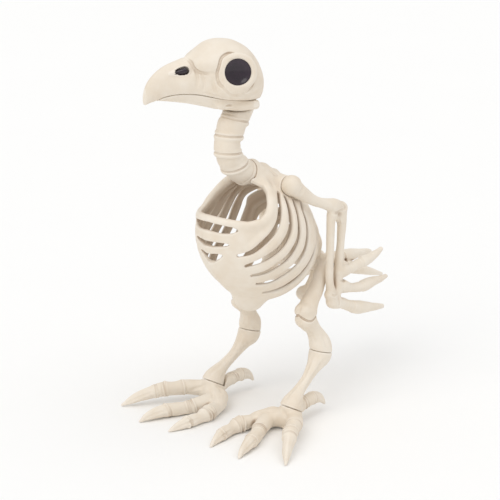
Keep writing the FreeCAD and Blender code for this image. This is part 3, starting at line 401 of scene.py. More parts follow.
def make_piece(name, V, Q, body, nodes, mat, attrs=None, place="body"):
    W = to_world(V, place)
    me = bpy.data.meshes.new(name)
    me.vertices.add(len(W))
    me.vertices.foreach_set("co", W.astype(F4).ravel())
    me.loops.add(Q.size)
    me.loops.foreach_set("vertex_index", Q.astype(np.int32).ravel())
    me.polygons.add(len(Q))
    me.polygons.foreach_set("loop_start", np.arange(0, Q.size, Q.shape[1], dtype=np.int32))
    me.update(calc_edges=True)
    me.polygons.foreach_set("use_smooth", np.ones(len(Q), bool))
    for key, val in (attrs or {}).items():
        a = me.attributes.new(key, "FLOAT", "POINT")
        a.data.foreach_set("value", np.asarray(val, F4))
    me.materials.append(mat)
    me.update()
    ob = bpy.data.objects.new(name, me)
    bpy.context.scene.collection.objects.link(ob)
    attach(ob, body)
    if nodes:
        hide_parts(*nodes)
    PIECES[name] = ob
    return ob


def surface_facts(f, V):
    """Per point: how hollow the surface is there, and how edge-like."""
    N = f.normals(V, f.h)
    occ = 0
    for d, w in ((1.2, 0.40), (2.6, 0.35), (5.0, 0.25)):
        occ = occ + w * np.clip(1 - f.at_sym(V + N * d) / d, 0, 1)
    e = max(1.0, f.h * 1.6)
    lap = -6 * f.at_sym(V)
    for i in range(3):
        lap = lap + f.at_sym(V + np.eye(3)[i] * e) + f.at_sym(V - np.eye(3)[i] * e)
    lap = lap / (e * e)
    return {"hollow": np.clip(occ, 0, 1), "edge": np.clip(lap, -1, 1)}


def build(name, f, body, nodes, mat, place="body", extra=None, mirror_to=None, facts=True, turn=None):
    """Meshes a field, and its mirror twin where there is one."""
    V, Q = f.mesh()
    V = relax(V, Q, 2)
    at = surface_facts(f, V) if facts else {}
    if extra:
        at.update(extra(V))
    make_piece(name, V, Q, body, nodes, mat, at, place)
    if mirror_to:
        n2, b2, nd2 = mirror_to
        W = V * np.array([-1, 1, 1])
        if turn:
            ang_, y0, z0 = turn
            c, s_ = math.cos(ang_), math.sin(ang_)
            W = np.stack([W[:, 0], y0 + (W[:, 1] - y0) * c - (W[:, 2] - z0) * s_, z0 + (W[:, 1] - y0) * s_ + (W[:, 2] - z0) * c], 1)
        make_piece(n2, W, Q[:, ::-1], b2, nd2, mat, at, place)


# ---------------------------------------------------------------- materials
def new_mat(name):
    m = bpy.data.materials.new(name)
    m.use_nodes = True
    nt = m.node_tree
    nt.nodes.clear()
    out = nt.nodes.new("ShaderNodeOutputMaterial")
    bs = nt.nodes.new("ShaderNodeBsdfPrincipled")
    nt.links.new(bs.outputs[0], out.inputs[0])
    return m, nt, bs


def noise(nt, co, scale, detail=3.0, rough=0.5):
    n = nt.nodes.new("ShaderNodeTexNoise")
    n.inputs["Scale"].default_value = scale
    n.inputs["Detail"].default_value = detail
    n.inputs["Roughness"].default_value = rough
    nt.links.new(co, n.inputs["Vector"])
    return n


def ramp(nt, src, stops):
    r = nt.nodes.new("ShaderNodeValToRGB")
    el = r.color_ramp.elements
    while len(el) < len(stops):
        el.new(0.5)
    for e, (p, c) in zip(el, stops):
        e.position = p
        e.color = (c[0], c[1], c[2], 1) if not isinstance(c, float) else (c, c, c, 1)
    nt.links.new(src, r.inputs[0])
    return r


def mixc(nt, fac, a, b, kind="MIX"):
    m = nt.nodes.new("ShaderNodeMix")
    m.data_type = "RGBA"
    m.blend_type = kind
    for sock, val in ((m.inputs[0], fac), (m.inputs[6], a), (m.inputs[7], b)):
        if isinstance(val, (int, float)):
            sock.default_value = val
        elif isinstance(val, tuple):
            sock.default_value = (*val, 1)
        else:
            nt.links.new(val, sock)
    return m.outputs[2]


def math_node(nt, op, a, b=None, clamp=False):
    m = nt.nodes.new("ShaderNodeMath")
    m.operation = op
    m.use_clamp = clamp
    for sock, val in zip(m.inputs, (a, b)):
        if val is None:
            continue
        if isinstance(val, (int, float)):
            sock.default_value = val
        else:
            nt.links.new(val, sock)
    return m.outputs[0]


def bone_material(name="bone_plastic", light=(0.845, 0.765, 0.655), warm=(0.78, 0.675, 0.545), shade_brown=(0.43, 0.31, 0.21), edge=(0.90, 0.84, 0.755)):
    m, nt, bs = new_mat(name)
    tc = nt.nodes.new("ShaderNodeTexCoord")
    co = tc.outputs["Object"]
    big = noise(nt, co, 22.0, 3.0, 0.55)
    mid = noise(nt, co, 95.0, 4.0, 0.55)
    fine = noise(nt, co, 900.0, 3.0, 0.6)
    base = mixc(nt, ramp(nt, big.outputs[0], [(0.35, 0.0), (0.68, 1.0)]).outputs[0], light, warm)
    base = mixc(nt, ramp(nt, mid.outputs[0], [(0.42, 0.0), (0.72, 0.35)]).outputs[0], base, edge)
    hol = nt.nodes.new("ShaderNodeAttribute")
    hol.attribute_name = "hollow"
    edg = nt.nodes.new("ShaderNodeAttribute")
    edg.attribute_name = "edge"
    ins = nt.nodes.new("ShaderNodeAttribute")
    ins.attribute_name = "inside"
    # painted shade: grooves and hollows are darkened towards a brown shade colour, with a little noise in it
    crevice_shade = ramp(nt, math_node(nt, "ADD", hol.outputs["Fac"], math_node(nt, "MULTIPLY", mid.outputs[0], 0.12)), [(0.30, 0.0), (0.72, 0.75)])
    base = mixc(nt, crevice_shade.outputs[0], base, shade_brown)
    # painted shade: the inner face of the rib cage is darkened further, most in its hollows
    base = mixc(nt, math_node(nt, "MULTIPLY", ins.outputs["Fac"], math_node(nt, "ADD", math_node(nt, "MULTIPLY", hol.outputs["Fac"], 0.75), 0.40), True), base, shade_brown)
    # painted highlight: convex edges are mixed towards the paler edge colour
    lit = ramp(nt, edg.outputs["Fac"], [(0.18, 0.0), (0.75, 0.55)])
    base = mixc(nt, lit.outputs[0], base, edge)
    nt.links.new(base, bs.inputs["Base Color"])
    rr = ramp(nt, mid.outputs[0], [(0.3, 0.50), (0.75, 0.66)])
    nt.links.new(rr.outputs[0], bs.inputs["Roughness"])
    bs.inputs["Specular IOR Level"].default_value = 0.38
    bs.inputs["Subsurface Weight"].default_value = 0.0
    b1 = nt.nodes.new("ShaderNodeBump")
    b1.inputs["Strength"].default_value = 0.35
    b1.inputs["Distance"].default_value = 0.0004
    nt.links.new(mid.outputs[0], b1.inputs["Height"])
    b2 = nt.nodes.new("ShaderNodeBump")
    b2.inputs["Strength"].default_value = 0.18
    b2.inputs["Distance"].default_value = 0.00006
    nt.links.new(fine.outputs[0], b2.inputs["Height"])
    nt.links.new(b1.outputs[0], b2.inputs["Normal"])
    nt.links.new(b2.outputs[0], bs.inputs["Normal"])
    return m


def gloss_material():
    m, nt, bs = new_mat("dark_gloss")
    tc = nt.nodes.new("ShaderNodeTexCoord")
    n = noise(nt, tc.outputs["Object"], 130.0, 3.0)
    c = mixc(nt, ramp(nt, n.outputs[0], [(0.35, 0.0), (0.7, 1.0)]).outputs[0], (0.016, 0.009, 0.016), (0.030, 0.016, 0.028))
    nt.links.new(c, bs.inputs["Base Color"])
    r = ramp(nt, n.outputs[0], [(0.3, 0.16), (0.75, 0.26)])
    nt.links.new(r.outputs[0], bs.inputs["Roughness"])
    bs.inputs["Specular IOR Level"].default_value = 0.42
    bs.inputs["Coat Weight"].default_value = 0.25
    bs.inputs["Coat Roughness"].default_value = 0.08
    b = nt.nodes.new("ShaderNodeBump")
    b.inputs["Strength"].default_value = 0.15
    b.inputs["Distance"].default_value = 0.0002
    nt.links.new(n.outputs[0], b.inputs["Height"])
    nt.links.new(b.outputs[0], bs.inputs["Normal"])
    return m


def steel_material():
    m, nt, bs = new_mat("zinc_steel")
    tc = nt.nodes.new("ShaderNodeTexCoord")
    n = noise(nt, tc.outputs["Object"], 700.0, 4.0)
    c = mixc(nt, ramp(nt, n.outputs[0], [(0.35, 0.0), (0.7, 1.0)]).outputs[0], (0.50, 0.50, 0.49), (0.66, 0.66, 0.64))
    nt.links.new(c, bs.inputs["Base Color"])
    bs.inputs["Metallic"].default_value = 1.0
    r = ramp(nt, n.outputs[0], [(0.3, 0.28), (0.75, 0.42)])
    nt.links.new(r.outputs[0], bs.inputs["Roughness"])
    b = nt.nodes.new("ShaderNodeBump")
    b.inputs["Strength"].default_value = 0.2
    b.inputs["Distance"].default_value = 0.00005
    nt.links.new(n.outputs[0], b.inputs["Height"])
    nt.links.new(b.outputs[0], bs.inputs["Normal"])
    return m


def floor_material():
    m, nt, bs = new_mat("floor")
    tc = nt.nodes.new("ShaderNodeTexCoord")
    n = noise(nt, tc.outputs["Object"], 6.0, 2.0)
    c = mixc(nt, n.outputs[0], (0.945, 0.945, 0.94), (0.955, 0.955, 0.95))
    nt.links.new(c, bs.inputs["Base Color"])
    bs.inputs["Roughness"].default_value = 0.85
    bs.inputs["Specular IOR Level"].default_value = 0.1
    return m


BONE = bone_material()
DARK = gloss_material()
STEEL = steel_material()
PLAIN = bone_material("washer_plastic", (0.70, 0.66, 0.59), (0.64, 0.60, 0.53), (0.35, 0.30, 0.25), (0.78, 0.75, 0.69))

# ---------------------------------------------------------------- head
HEAD = [(21.4, 32, 20, 8), (18.2, 42, 9, 16), (11.5, 52.5, 2.6, 22.5), (2.5, 60.4, 0.6, 26.6),
        (-10, 65.8, 0.4, 28.6), (-21, 67.2, 1.4, 27.8), (-31, 65.4, 3.6, 24.6), (-40, 60.8, 6.2, 20.2),
        (-46.5, 55.6, 7.9, 16), (-51, 52.6, 9.0, 14), (-57, 51.0, 10.2, 12.6), (-65, 48.6, 11.8, 11.0), (-74, 44.8, 13.2, 9.2),
        (-82, 39.8, 13.8, 7), (-88, 33.2, 12.6, 4.8), (-91.6, 26, 11.5, 2.8), (-92.8, 21.5, 12.6, 1.4)]
SEAM = [(40, 11), (10, 11.2), (0, 12), (-10, 13.4), (-22, 15), (-32, 17), (-42, 19.2), (-52, 20.4),
        (-60, 20.6), (-70, 19.4), (-76, 17.8), (-80.5, 15.4), (-84, 12), (-110, 0)]
EYE_AXIS = unit((math.cos(math.radians(17)), -math.sin(math.radians(17)), 0.12))
EYE_P = np.array([25.6, -11.5, 40.2])
NOSE = np.array([10.4, -57.4, 40.6])
NOSE_AXIS = unit((0.93, -0.12, 0.34))


def head_form(f, shrink=0.0):
    ys = [r[0] for r in HEAD]
    top, bot, wid = (pchip(ys, [r[i] for r in HEAD]) for i in (1, 2, 3))
    w, X, Y, Z, ok = f.whole()
    yc = np.clip(Y, -92.8, 21.4)
    T, B, Wd = (g(yc).astype(F4) for g in (top, bot, wid))
    hh = np.maximum((T - B) / 2 - F4(shrink), 0.4)
    Wd = np.maximum(Wd - F4(shrink), 0.4)
    zc = (T + B) / 2
    u, v = X / Wd, (Z - zc) / hh
    k0 = np.sqrt(u * u + v * v)
    k1 = np.sqrt((u / Wd) ** 2 + (v / hh) ** 2) + F4(1e-6)
    D = k0 * (k0 - 1) / k1
    dy = np.abs(Y - yc)
    D = np.where(dy > 0, np.sqrt(np.maximum(D, 0) ** 2 + dy ** 2), D)
    g = np.gradient(D, f.h)
    m = np.sqrt(g[0] ** 2 + g[1] ** 2 + g[2] ** 2)
    f.F = np.minimum(D / np.clip(m, 0.5, 6), BIG).astype(F4)
    return f


def seam_height(Y):
    return pchip([p[0] for p in SEAM], [p[1] for p in SEAM])(Y).astype(F4)


def make_head():
    h = 0.62
    f = Field((0, -97, -3), (36, 27, 70), h, half=True)
    head_form(f)
    f.wobble(0.22, 26, 3)
    # cheeks and brow
    f.egg((20, -12, 24), (9.5, 19, 9), k=9)
    f.egg((14, -33, 47), (7.5, 14, 7), k=8)
    f.egg((8.5, -47, 31), (6, 14, 8), k=8)
    # raised ring round the eye, with its ledge above
    c = EYE_P - EYE_AXIS * 1.2
    f.rod(EYE_P - EYE_AXIS * 10, EYE_AXIS, 15.4, 10.2, k=2.4, rnd=1.4)
    f.hoop(c + EYE_AXIS * 0.5, EYE_AXIS, 14.6, 3.4, k=1.6, mode="add")
    base = f.copy()
    up = unit(np.array([0, 0, 1]) - EYE_AXIS * EYE_AXIS[2])
    fw = np.cross(up, EYE_AXIS)

    def round_eye(deg, rad, out=-1.5):
        t = math.radians(deg)
        return tuple(EYE_P + EYE_AXIS * out + (up * math.cos(t) + fw * math.sin(t)) * rad)
    sgn = -1 if fw[1] > 0 else 1          # degrees count from the top towards the beak
    # soft hollow round the ring, deepest above it
    f.crease([round_eye(sgn * a, 18.7) for a in range(-130, 140, 12)], r=1.15, depth=1.6, k=1.3)
    f.crease([round_eye(sgn * a, 19.0) for a in range(120, 275, 12)], r=0.9, depth=0.7, k=1.5)
    # brow crease from the root of the beak back over the eye
    f.crease([(2, -52.5, 52.4), (8, -49.5, 48.5), (12, -46, 44.5), (15.5, -40, 41.5), (19.5, -33, 40.5)], r=1.2, depth=1.25, k=1.5)
    # folds behind the nostril and under the eye
    f.crease([(13, -46.5, 41), (14, -46, 35), (14.2, -46.5, 29)], r=1.1, depth=0.7, k=1.6)
    f.crease([(15.5, -41, 38), (17, -40, 31), (17.5, -41, 25.5)], r=1.1, depth=0.7, k=1.6)
    f.crease([(19, -33, 33), (21, -31.5, 27), (22.5, -29, 22)], r=1.2, depth=0.65, k=1.7)
    f.crease([(25, -12, 20.5), (25.5, -3, 19.5), (24, 5, 21)], r=1.5, depth=0.7, k=2.2)
    f.crease([(24, -22, 20), (20.5, -31, 20.5), (16.5, -40, 22)], r=1.1, depth=0.5, k=1.6)
    f.crease([(23, 8, 33), (21, 12, 42), (17, 12, 51)], r=1.6, depth=0.55, k=2.4)
    # nostril: a soft lip, a tear-drop pit and the dark dish in it
    tear = [(9.8, -56.4, 41.6, 4.1), (9.6, -60, 41.4, 3.7), (9.0, -64.4, 40.8, 2.4), (8.2, -69.4, 40.2, 0.9)]
    Q = f.snap([t[:3] for t in tear])
    f.chain([tuple(q) + (t[3] * 0.8 + 0.9,) for q, t in zip(Q, tear)], k=2.6, raw=False)
    skin = f.copy()
    f.chain([tuple(q) + (t[3],) for q, t in zip(Q, tear)], k=0.7, mode="cut", step=0.8)
    dish = Field((0, -74, 34), (20, -46, 52), 0.4)
    dish.chain([tuple(q) + (t[3] + 0.35,) for q, t in zip(Q, tear)], k=0, step=0.6)
    w_, X_, Y_, Z_, ok_ = dish.whole()
    G = np.stack([np.broadcast_to(v, dish.F.shape).ravel() for v in (X_, Y_, Z_)], 1)
    dish.F = smax(dish.F, (skin.at(G).reshape(dish.F.shape) + F4(1.5)).astype(F4), 0.8)
    V_, Q_ = dish.mesh()
    V_ = relax(V_, Q_, 1)
    make_piece("nostril_left_dish", V_, Q_, "head", ["nostril_left"], DARK, None, "head")
    make_piece("nostril_right_dish", V_ * np.array([-1, 1, 1]), Q_[:, ::-1], "head", ["nostril_right"], DARK, None, "head")
    # eye pit
    f.rod(EYE_P - EYE_AXIS * 3.5, EYE_AXIS, 11.95, 16, k=1.4, mode="cut")
    dish = Field((10, -30, 20), (36, 8, 60), 0.45)
    dish.rod(EYE_P - EYE_AXIS * 3.9, EYE_AXIS, 12.4, 5.6, k=0, rnd=0.9)
    dish.ball(EYE_P + EYE_AXIS * (1.7 - 1.5 + 22.6), 24.2, k=1.0, mode="cut")
    V_, Q_ = dish.mesh()
    V_ = relax(V_, Q_, 2)
    make_piece("eye_left_dish", V_, Q_, "head", ["eye_left"], DARK, None, "head")
    make_piece("eye_right_dish", V_ * np.array([-1, 1, 1]), Q_[:, ::-1], "head", ["eye_right"], DARK, None, "head")
    # underside and jaw seam
    w, X, Y, Z, ok = f.whole()
    S = np.broadcast_to(seam_height(Y) + F4(0.2) - Z, f.F.shape)
    f.F = smax(f.F, S.astype(F4), 1.3)
    # collar, bearing for the neck
    f.rod((0, 0, 0.4), (0, 0, 1), 13.3, 19.4, k=1.2, rnd=0.9)
    f.rod((11.4, 8, 9.5), (1, 0, 0), 3.6, 3.8, k=0.6)
    f.rod((0, 0, -3), (0, 0, 1), 6.35, 25, k=0.3, mode="cut")
    f.rod((0, 0, 19.8), (0, 0, 1), 9.3, 6.4, k=0.3, mode="cut")
    build("skull", f, "head", ["skull_left_half", "skull_right_half"], BONE, "head")
    return f


def make_jaw():
    h = 0.6
    f = Field((0, -92, -3), (33, 19, 24), h, half=True)
    head_form(f, 0.5)
    f.chain([(16.4, -24, 9.4, 4.6), (17.6, -10, 7.6, 4.8), (18.0, 0, 7.0, 4.9), (17.8, 9, 7.2, 4.9)], k=3.5)
    f.wobble(0.18, 22, 5)
    w, X, Y, Z, ok = f.whole()
    f.F = smax(f.F, np.broadcast_to(F4(2.0) - Z, f.F.shape).astype(F4), 1.4)
    f.crease([(21, -21.5, 8.6), (21.4, -18.5, 9.2), (21.6, -15, 8.8)], r=0.8, depth=1.0, k=0.9)
    S = np.broadcast_to(Z - (seam_height(Y) - F4(0.3)), f.F.shape)
    f.F = smax(f.F, S.astype(F4), 1.2)
    f.rod((0, -4.2, -20), (0, 0, 1), 15.9, 60, k=1.0, mode="cut")
    f.put(lambda X, Y, Z: np.maximum(X - F4(15.9), F4(-4.2) - Y), (-1, -4.2, -3), (15.9, 19, 24), 1.0, "cut")
    f.put(lambda X, Y, Z: Y - F4(12.6) + 0 * X + 0 * Z, (-1, -92, -3), (33, 19, 24), 1.5, "keep", pad=0)
    f.rod((15.0, 8, 7.4), (1, 0, 0), 1.75, 6.4, k=0.3, mode="cut")
    build("lower_jaw_skin", f, "jaw", ["lower_jaw"], BONE, "head")


# ---------------------------------------------------------------- neck
NECK = [(0, -17.6, 308.7, 13.3), (0, -20.6, 304.2, 13.2), (0, -23.5, 298.2, 12.3), (0, -27.1, 294.6, 13.3), (0, -30.3, 287.4, 12.5),
        (0, -32.8, 282.0, 11.7), (0, -33.3, 276.0, 12.3), (0, -32.2, 270.6, 11.7), (0, -29.2, 263.9, 12.2), (0, -24.2, 257.3, 12.2),
        (0, -17.9, 251.6, 12.5), (0, -8, 245.6, 12.9)]
ND = unit((0, 0.86, -0.51))


def make_neck():
    f = Field((0, -50, 232), (16, 4, 336), 0.6, half=True)
    line = [(0, -14.5, 313.5, 13.3)] + NECK + [(0, 0.5, 240.6, 12.9)]
    f.chain(line, k=0.5, step=1.0)
    f.wobble(0.16, 15, 8)
    f.slab((0, -17.6, 308.7), (0, 0, 1), k=1.6)
    f.slab((0, -8, 245.6), ND, k=1.4)
    # seams between the neck bones: a groove with a soft rim on each side
    C = smooth_chain(NECK, 0.5)
    P, R = C[:, :3], C[:, 3]
    for y, z, lean, dep in ((-22.8, 299.2, 0.240, 0.70), (-31.0, 286.5, 0.100, 0.72), (-33.1, 270.4, 0.070, 0.72), (-25.7, 255.2, -0.375, 0.70)):
        i = int(np.argmin((P[:, 2] - z) ** 2 + (P[:, 1] - y) ** 2))
        d = unit((0, lean, 1))
        tn = unit(P[min(i + 3, len(P) - 1)] - P[max(i - 3, 0)])
        fit = 1.0 / abs(float(d @ tn))
        for s_, o, g_ in ((-1, 2.3, 2.1), (1, 1.6, 1.4)):
            f.hoop(P[i] + d * o * s_, d, R[i] * (0.5 + 0.5 * fit) - 1.0, g_, k=2.2, mode="add")
        e_ = np.cross(d, (1, 0, 0))
        rr = R[i] * (0.5 + 0.5 * fit)
        ring = [tuple(P[i] + (e_ * math.cos(q_) + np.array([1, 0, 0]) * math.sin(q_)) * rr) for q_ in np.linspace(-0.12, math.pi + 0.12, 15)]
        f.crease(ring, r=dep, depth=dep * 0.95, k=0.9, taper=False)
    # the last neck bone turns into the shoulders
    f.crease([(0.3, -4.5, 258.6), (7, -6.5, 256.6), (11.8, -10, 250.5), (13, -14.5, 244), (10, -19.5, 237.5), (0.3, -21.5, 234.8)], r=0.8, depth=0.7, k=1.0, taper=False)
    # spigot and plug, out of sight
    f.rod((0, -17.6, 307), (0, 0, 1), 5.8, 22.6, k=0.3)
    f.rod((0, -17.6, 329.3), (0, 0, 1), 8.3, 2.4, k=0.3)
    f.rod((0, -8.5, 245.9), ND, 8.3, 9, k=0.3)
    build("neck", f, "torso", ["neck_left_half", "neck_right_half"], BONE)


# ---------------------------------------------------------------- rib cage
CAGE_C = np.array([0, 9.5, 178.8])
TA = math.radians(-35.52)
CU, CV = np.array([0, math.cos(TA), math.sin(TA)]), np.array([0, -math.sin(TA), math.cos(TA)])
GAPS = [[(26.4, -47.3, 178.7), (33.9, -39.2, 181.2), (38.3, -32.6, 186), (41.7, -24.6, 192.3), (43.1, -17.5, 197.8), (42.7, -10.2, 205.5), (39.8, -4.5, 214.6), (33.8, 0.8, 224.5), (29.6, 4.6, 229)],
        [(29.3, -40, 167.4), (37, -31, 171), (42.3, -21.4, 175.4), (45.9, -10.7, 181.8), (46.9, -3, 188.4), (45.9, 4.1, 197.6), (43, 7.4, 207.1), (38.2, 9.8, 216.6), (32.3, 11.5, 224.6)],
        [(29.7, -32.3, 156), (36.8, -22.9, 158.1), (43, -12.2, 163.7), (46.7, -0.6, 170), (48, 7.9, 177.9), (47.3, 14.6, 187.2), (44.4, 17.9, 199.6), (39.6, 20.3, 210.5), (34.2, 21.5, 218.8), (27, 25.5, 224), (20, 29, 227)],
        [(28.9, -23.5, 145.7), (35.2, -13.2, 146.3), (41.6, -2.5, 152.1), (44.9, 7.6, 157.3), (46.7, 17.7, 164.3), (46.7, 25.7, 173.5), (44.9, 30.7, 185.8), (41, 33, 198.4), (37.4, 32.1, 207.5), (30, 36.5, 213.5), (20, 42, 216)],
        [(25.2, -10.4, 132.9), (30.8, -0.2, 133.8), (36.5, 11.5, 137.7), (40.3, 23.3, 144.1), (42.1, 35.6, 152.5), (41.2, 45.5, 162.3), (38.8, 51.7, 173.3), (34.6, 53.9, 184.5), (27, 57, 191), (17, 60.5, 195)]]
GAP_W = [(1.4, 2.5, 2.7, 2.3, 1.6), (1.3, 2.6, 2.7, 2.3, 1.7), (1.2, 2.6, 2.8, 2.4, 1.8), (1.4, 3.0, 3.2, 2.7, 1.9), (1.6, 3.3, 3.6, 3.0, 2.0)]
OPENING = [(0, 16.8), (15.4, 16.3), (32.3, 15.3), (43, 18.2), (49.1, 24.1), (53, 33.9), (54.5, 48), (50.7, 54.9), (40.8, 57.3), (20, 60), (0, 62)]
SLOT_1 = [(0, 11.3), (12, 10.5), (20, 9.6), (23.4, 8.3), (24.1, 6.8), (20, 4.6), (12.5, 4.1), (2, 5.0), (0, 5.1)]
SLOT_2 = [(0, -3.0), (6, -3.5), (14, -3.8), (17.5, -4.4), (17.5, -5.2), (15.6, -6.2), (5.7, -7.3), (0, -6.9)]
SLOT_3 = [(0, -13.3), (8, -13.5), (11.6, -13.9), (11.2, -15.2), (8.4, -17.8), (3.4, -20.8), (0, -21.2)]
REAR = [(3, 100), (6, 112), (13, 119.4), (24, 126.4), (33, 133.4), (43, 141.2), (53, 147.6), (61.6, 154), (66, 168), (66.8, 173.4), (90, 184.1), (110, 190), (110, 100)]
SP_END, SP_DIR = np.array([0, 72.5, 176]), unit((0, 0.42, -0.907))
YOKE = [(0, -8, 245.6, 13.4, 1.0), (0, 2, 240, 14.6, 1.17), (0, 14, 234.6, 14.2, 1.44), (0, 27, 227.6, 13.2, 1.54), (0, 40, 219.0, 11.8, 1.43),
        (0, 51, 208.2, 9.8, 1.2), (0, 62, 197.0, 7.8, 1.0), (0, 70, 182, 6.8, 1.0), (0, 72.5, 176, 6.7, 1.0)]
AXES = np.array([48, 75.3, 58.2])


def cage_k(P):
    d = np.asarray(P, float) - CAGE_C
    return np.sqrt((d[..., 0] / AXES[0]) ** 2 + ((d @ CU) / AXES[1]) ** 2 + ((d @ CV) / AXES[2]) ** 2)


def on_cage(P, k=1.0):
    """Moves points along the rays from the middle of the cage on to its (scaled) skin."""
    P = np.asarray(P, float)
    return CAGE_C + (P - CAGE_C) * (k / cage_k(P))[:, None]


def evenly(P, n):
    P = np.asarray(P, float)
    L = np.concatenate([[0], np.cumsum(np.linalg.norm(np.diff(P, axis=0), axis=1))])
    return np.stack([np.interp(np.linspace(0, L[-1], n), L, P[:, i]) for i in range(3)], 1)


def prism_cut(f, pts, plane, lo, hi, k):
    """Cuts a prism along x."""
    w, X, Y, Z, ok = f.whole()
    d2 = poly2(Y[0, :, 0][:, None], Z[0, 0, :][None, :], pts)[None, :, :]
    D = np.maximum(d2, np.maximum(F4(lo) - X, X - F4(hi)))
    f.F = smax(f.F, -D, k)


def make_torso():
    h = 0.66
    f = Field((0, -70, 105), (52.5, 81, 263), h, half=True)
    axes = ((1, 0, 0), CU, CV)
    f.egg(CAGE_C, (48, 75.3, 58.2), axes, k=0)
    f.ball((0, -1, 121.6), 12, k=9)
    f.egg((0, -3, 122), (9.5, 20, 12.5), ((1, 0, 0), (0, 0.86, -0.5), (0, 0.5, 0.86)), k=7)
    Y_ = smooth_chain(YOKE, 1.6)
    f.chain(Y_[:, :4], k=6, raw=True, wide=list(Y_[:, 4]))
    # soft keel down the breast plate
    f.bead([(0, -58.5, 200), (0, -57.5, 185), (0, -50, 160), (0, -34, 138), (0, -12, 118)], r=4.0, proud=0.9, k=6.0)
    # inside
    inner = Field((0, -70, 105), (52.5, 81, 263), h, half=True)
    inner.egg(CAGE_C, (44.8, 72.1, 55.0), axes, k=0)
    f.F = smax(f.F, -inner.F, 1.2)
    # rounded ribs between the gaps
    E = [evenly(on_cage(smooth_chain([tuple(p) for p in g], 2.0)[:, :3]), 30) for g in GAPS]
    ribs = [on_cage((a + b) / 2, 0.948) for a, b in zip(E[:-1], E[1:])]
    ribs.append(on_cage(E[4] + (E[4] - E[3]) * 0.44, 0.948))
    for j, R_ in enumerate(ribs):
        slim = 0.82 if j >= 2 else 0.94
        wdt = pchip([0, 0.12, 0.5, 0.85, 1], [2.4, 3.5, 4.1, 3.9, 3.2])(np.linspace(0, 1, len(R_)))
        f.chain([tuple(p) + (float(w_) * slim,) for p, w_ in zip(R_, wdt)], k=2.2, raw=True)
    R_ = on_cage(evenly(E[0] + (E[0] - E[1]) * 0.42, 30), 0.955)
    f.chain([tuple(p) + (3.6,) for p in R_[6:]], k=3.0, raw=True)
    # rounded lip round the opening
    O_ = np.array([0, 10.0, 195.0])
    lip = []
    for a_, b_ in ((0, 12.6), (16, 12.2), (33, 11.4), (46.5, 15), (54.5, 23), (58.5, 34), (59.5, 47), (57.5, 57), (48, 66)):
        t_ = np.array([math.sin(math.radians(a_)) * math.cos(math.radians(b_)), -math.cos(math.radians(a_)) * math.cos(math.radians(b_)), math.sin(math.radians(b_))])
        r_ = 30.0
        for _ in range(30):
            r_ = r_ / float(cage_k(O_ + t_ * r_)) ** 0.7
        lip.append(tuple(O_ + t_ * (r_ - (0.6 if a_ > 50 else 1.4))) + (3.6 if a_ > 50 else (2.9 if a_ > 40 else 2.2),))
    f.chain(lip, k=6.0)
    f.wobble(0.18, 24, 11)
    # back bone: a row of knuckles
    for (y, z, r) in ((1.8, 252.0, 4.9), (15.7, 245.6, 5.0), (31.0, 237.0, 5.0), (43.4, 226.4, 4.9), (54.0, 214.4, 4.6), (62.4, 201.4, 4.3), (68.6, 188.4, 3.9)):
        f.egg((0, y, z), (6.2, r * 0.86, r), ((1, 0, 0), (0, 0.87, -0.5), (0, 0.5, 0.87)), k=2.8)
    for (a, b, c_) in (((6.5, 9.0, 250.3), (12, 11.5, 246), (17.5, 14.5, 240)), ((6.5, 23.4, 243.4), (13, 26, 239), (19.5, 28.5, 232)), ((6.2, 37.4, 233.2), (12.5, 39.6, 229), (17.5, 41.5, 223))):
        f.crease([(0.5, a[1] - 0.4, a[2] + 0.8), a, b, c_], r=1.5, depth=0.8, k=2.4)
    k = 2.0
    w, X, Y, Z, ok = f.whole()
    dx = np.broadcast_to(X - F4(CAGE_C[0]), f.F.shape)
    du = np.broadcast_to((Y - F4(CAGE_C[1])) * F4(CU[1]) + (Z - F4(CAGE_C[2])) * F4(CU[2]), f.F.shape)
    dv = np.broadcast_to((Y - F4(CAGE_C[1])) * F4(CV[1]) + (Z - F4(CAGE_C[2])) * F4(CV[2]), f.F.shape)
    k0 = np.sqrt((dx / F4(48)) ** 2 + (du / F4(75.3)) ** 2 + (dv / F4(58.2)) ** 2)
    sel = np.nonzero((k0 > 0.80) & (k0 < 1.16) & (f.F < 4))
    q = k0[sel]
    Sx, Su, Sv = dx[sel] / q, du[sel] / q, dv[sel] / q
    val = f.F[sel]
    for g, gw in zip(GAPS, GAP_W):
        P = on_cage(smooth_chain([tuple(p) for p in g], 2.0)[:, :3]) - CAGE_C
        P = np.stack([P[:, 0], P @ CU, P @ CV], 1)
        n = len(P)
        W = pchip(np.linspace(0, 1, len(gw)), gw)(np.linspace(0, 1, n))
        near = (Sx > P[:, 0].min() - 6) & (Su > P[:, 1].min() - 6) & (Su < P[:, 1].max() + 6) & (Sv > P[:, 2].min() - 6) & (Sv < P[:, 2].max() + 6)
        ax_, au, av = Sx[near], Su[near], Sv[near]
        D = np.full(ax_.shape, BIG, F4)
        for i in range(n - 1):
            e = P[i + 1] - P[i]
            L2 = float(e @ e) + 1e-9
            t = np.clip(((ax_ - F4(P[i, 0])) * F4(e[0]) + (au - F4(P[i, 1])) * F4(e[1]) + (av - F4(P[i, 2])) * F4(e[2])) / F4(L2), 0, 1)
            d = np.sqrt((ax_ - F4(P[i, 0]) - t * F4(e[0])) ** 2 + (au - F4(P[i, 1]) - t * F4(e[1])) ** 2 + (av - F4(P[i, 2]) - t * F4(e[2])) ** 2)
            D = np.minimum(D, d - (F4(W[i]) + t * F4(W[i + 1] - W[i])))
        val[near] = smax(val[near], -D, k)
    f.F[sel] = val
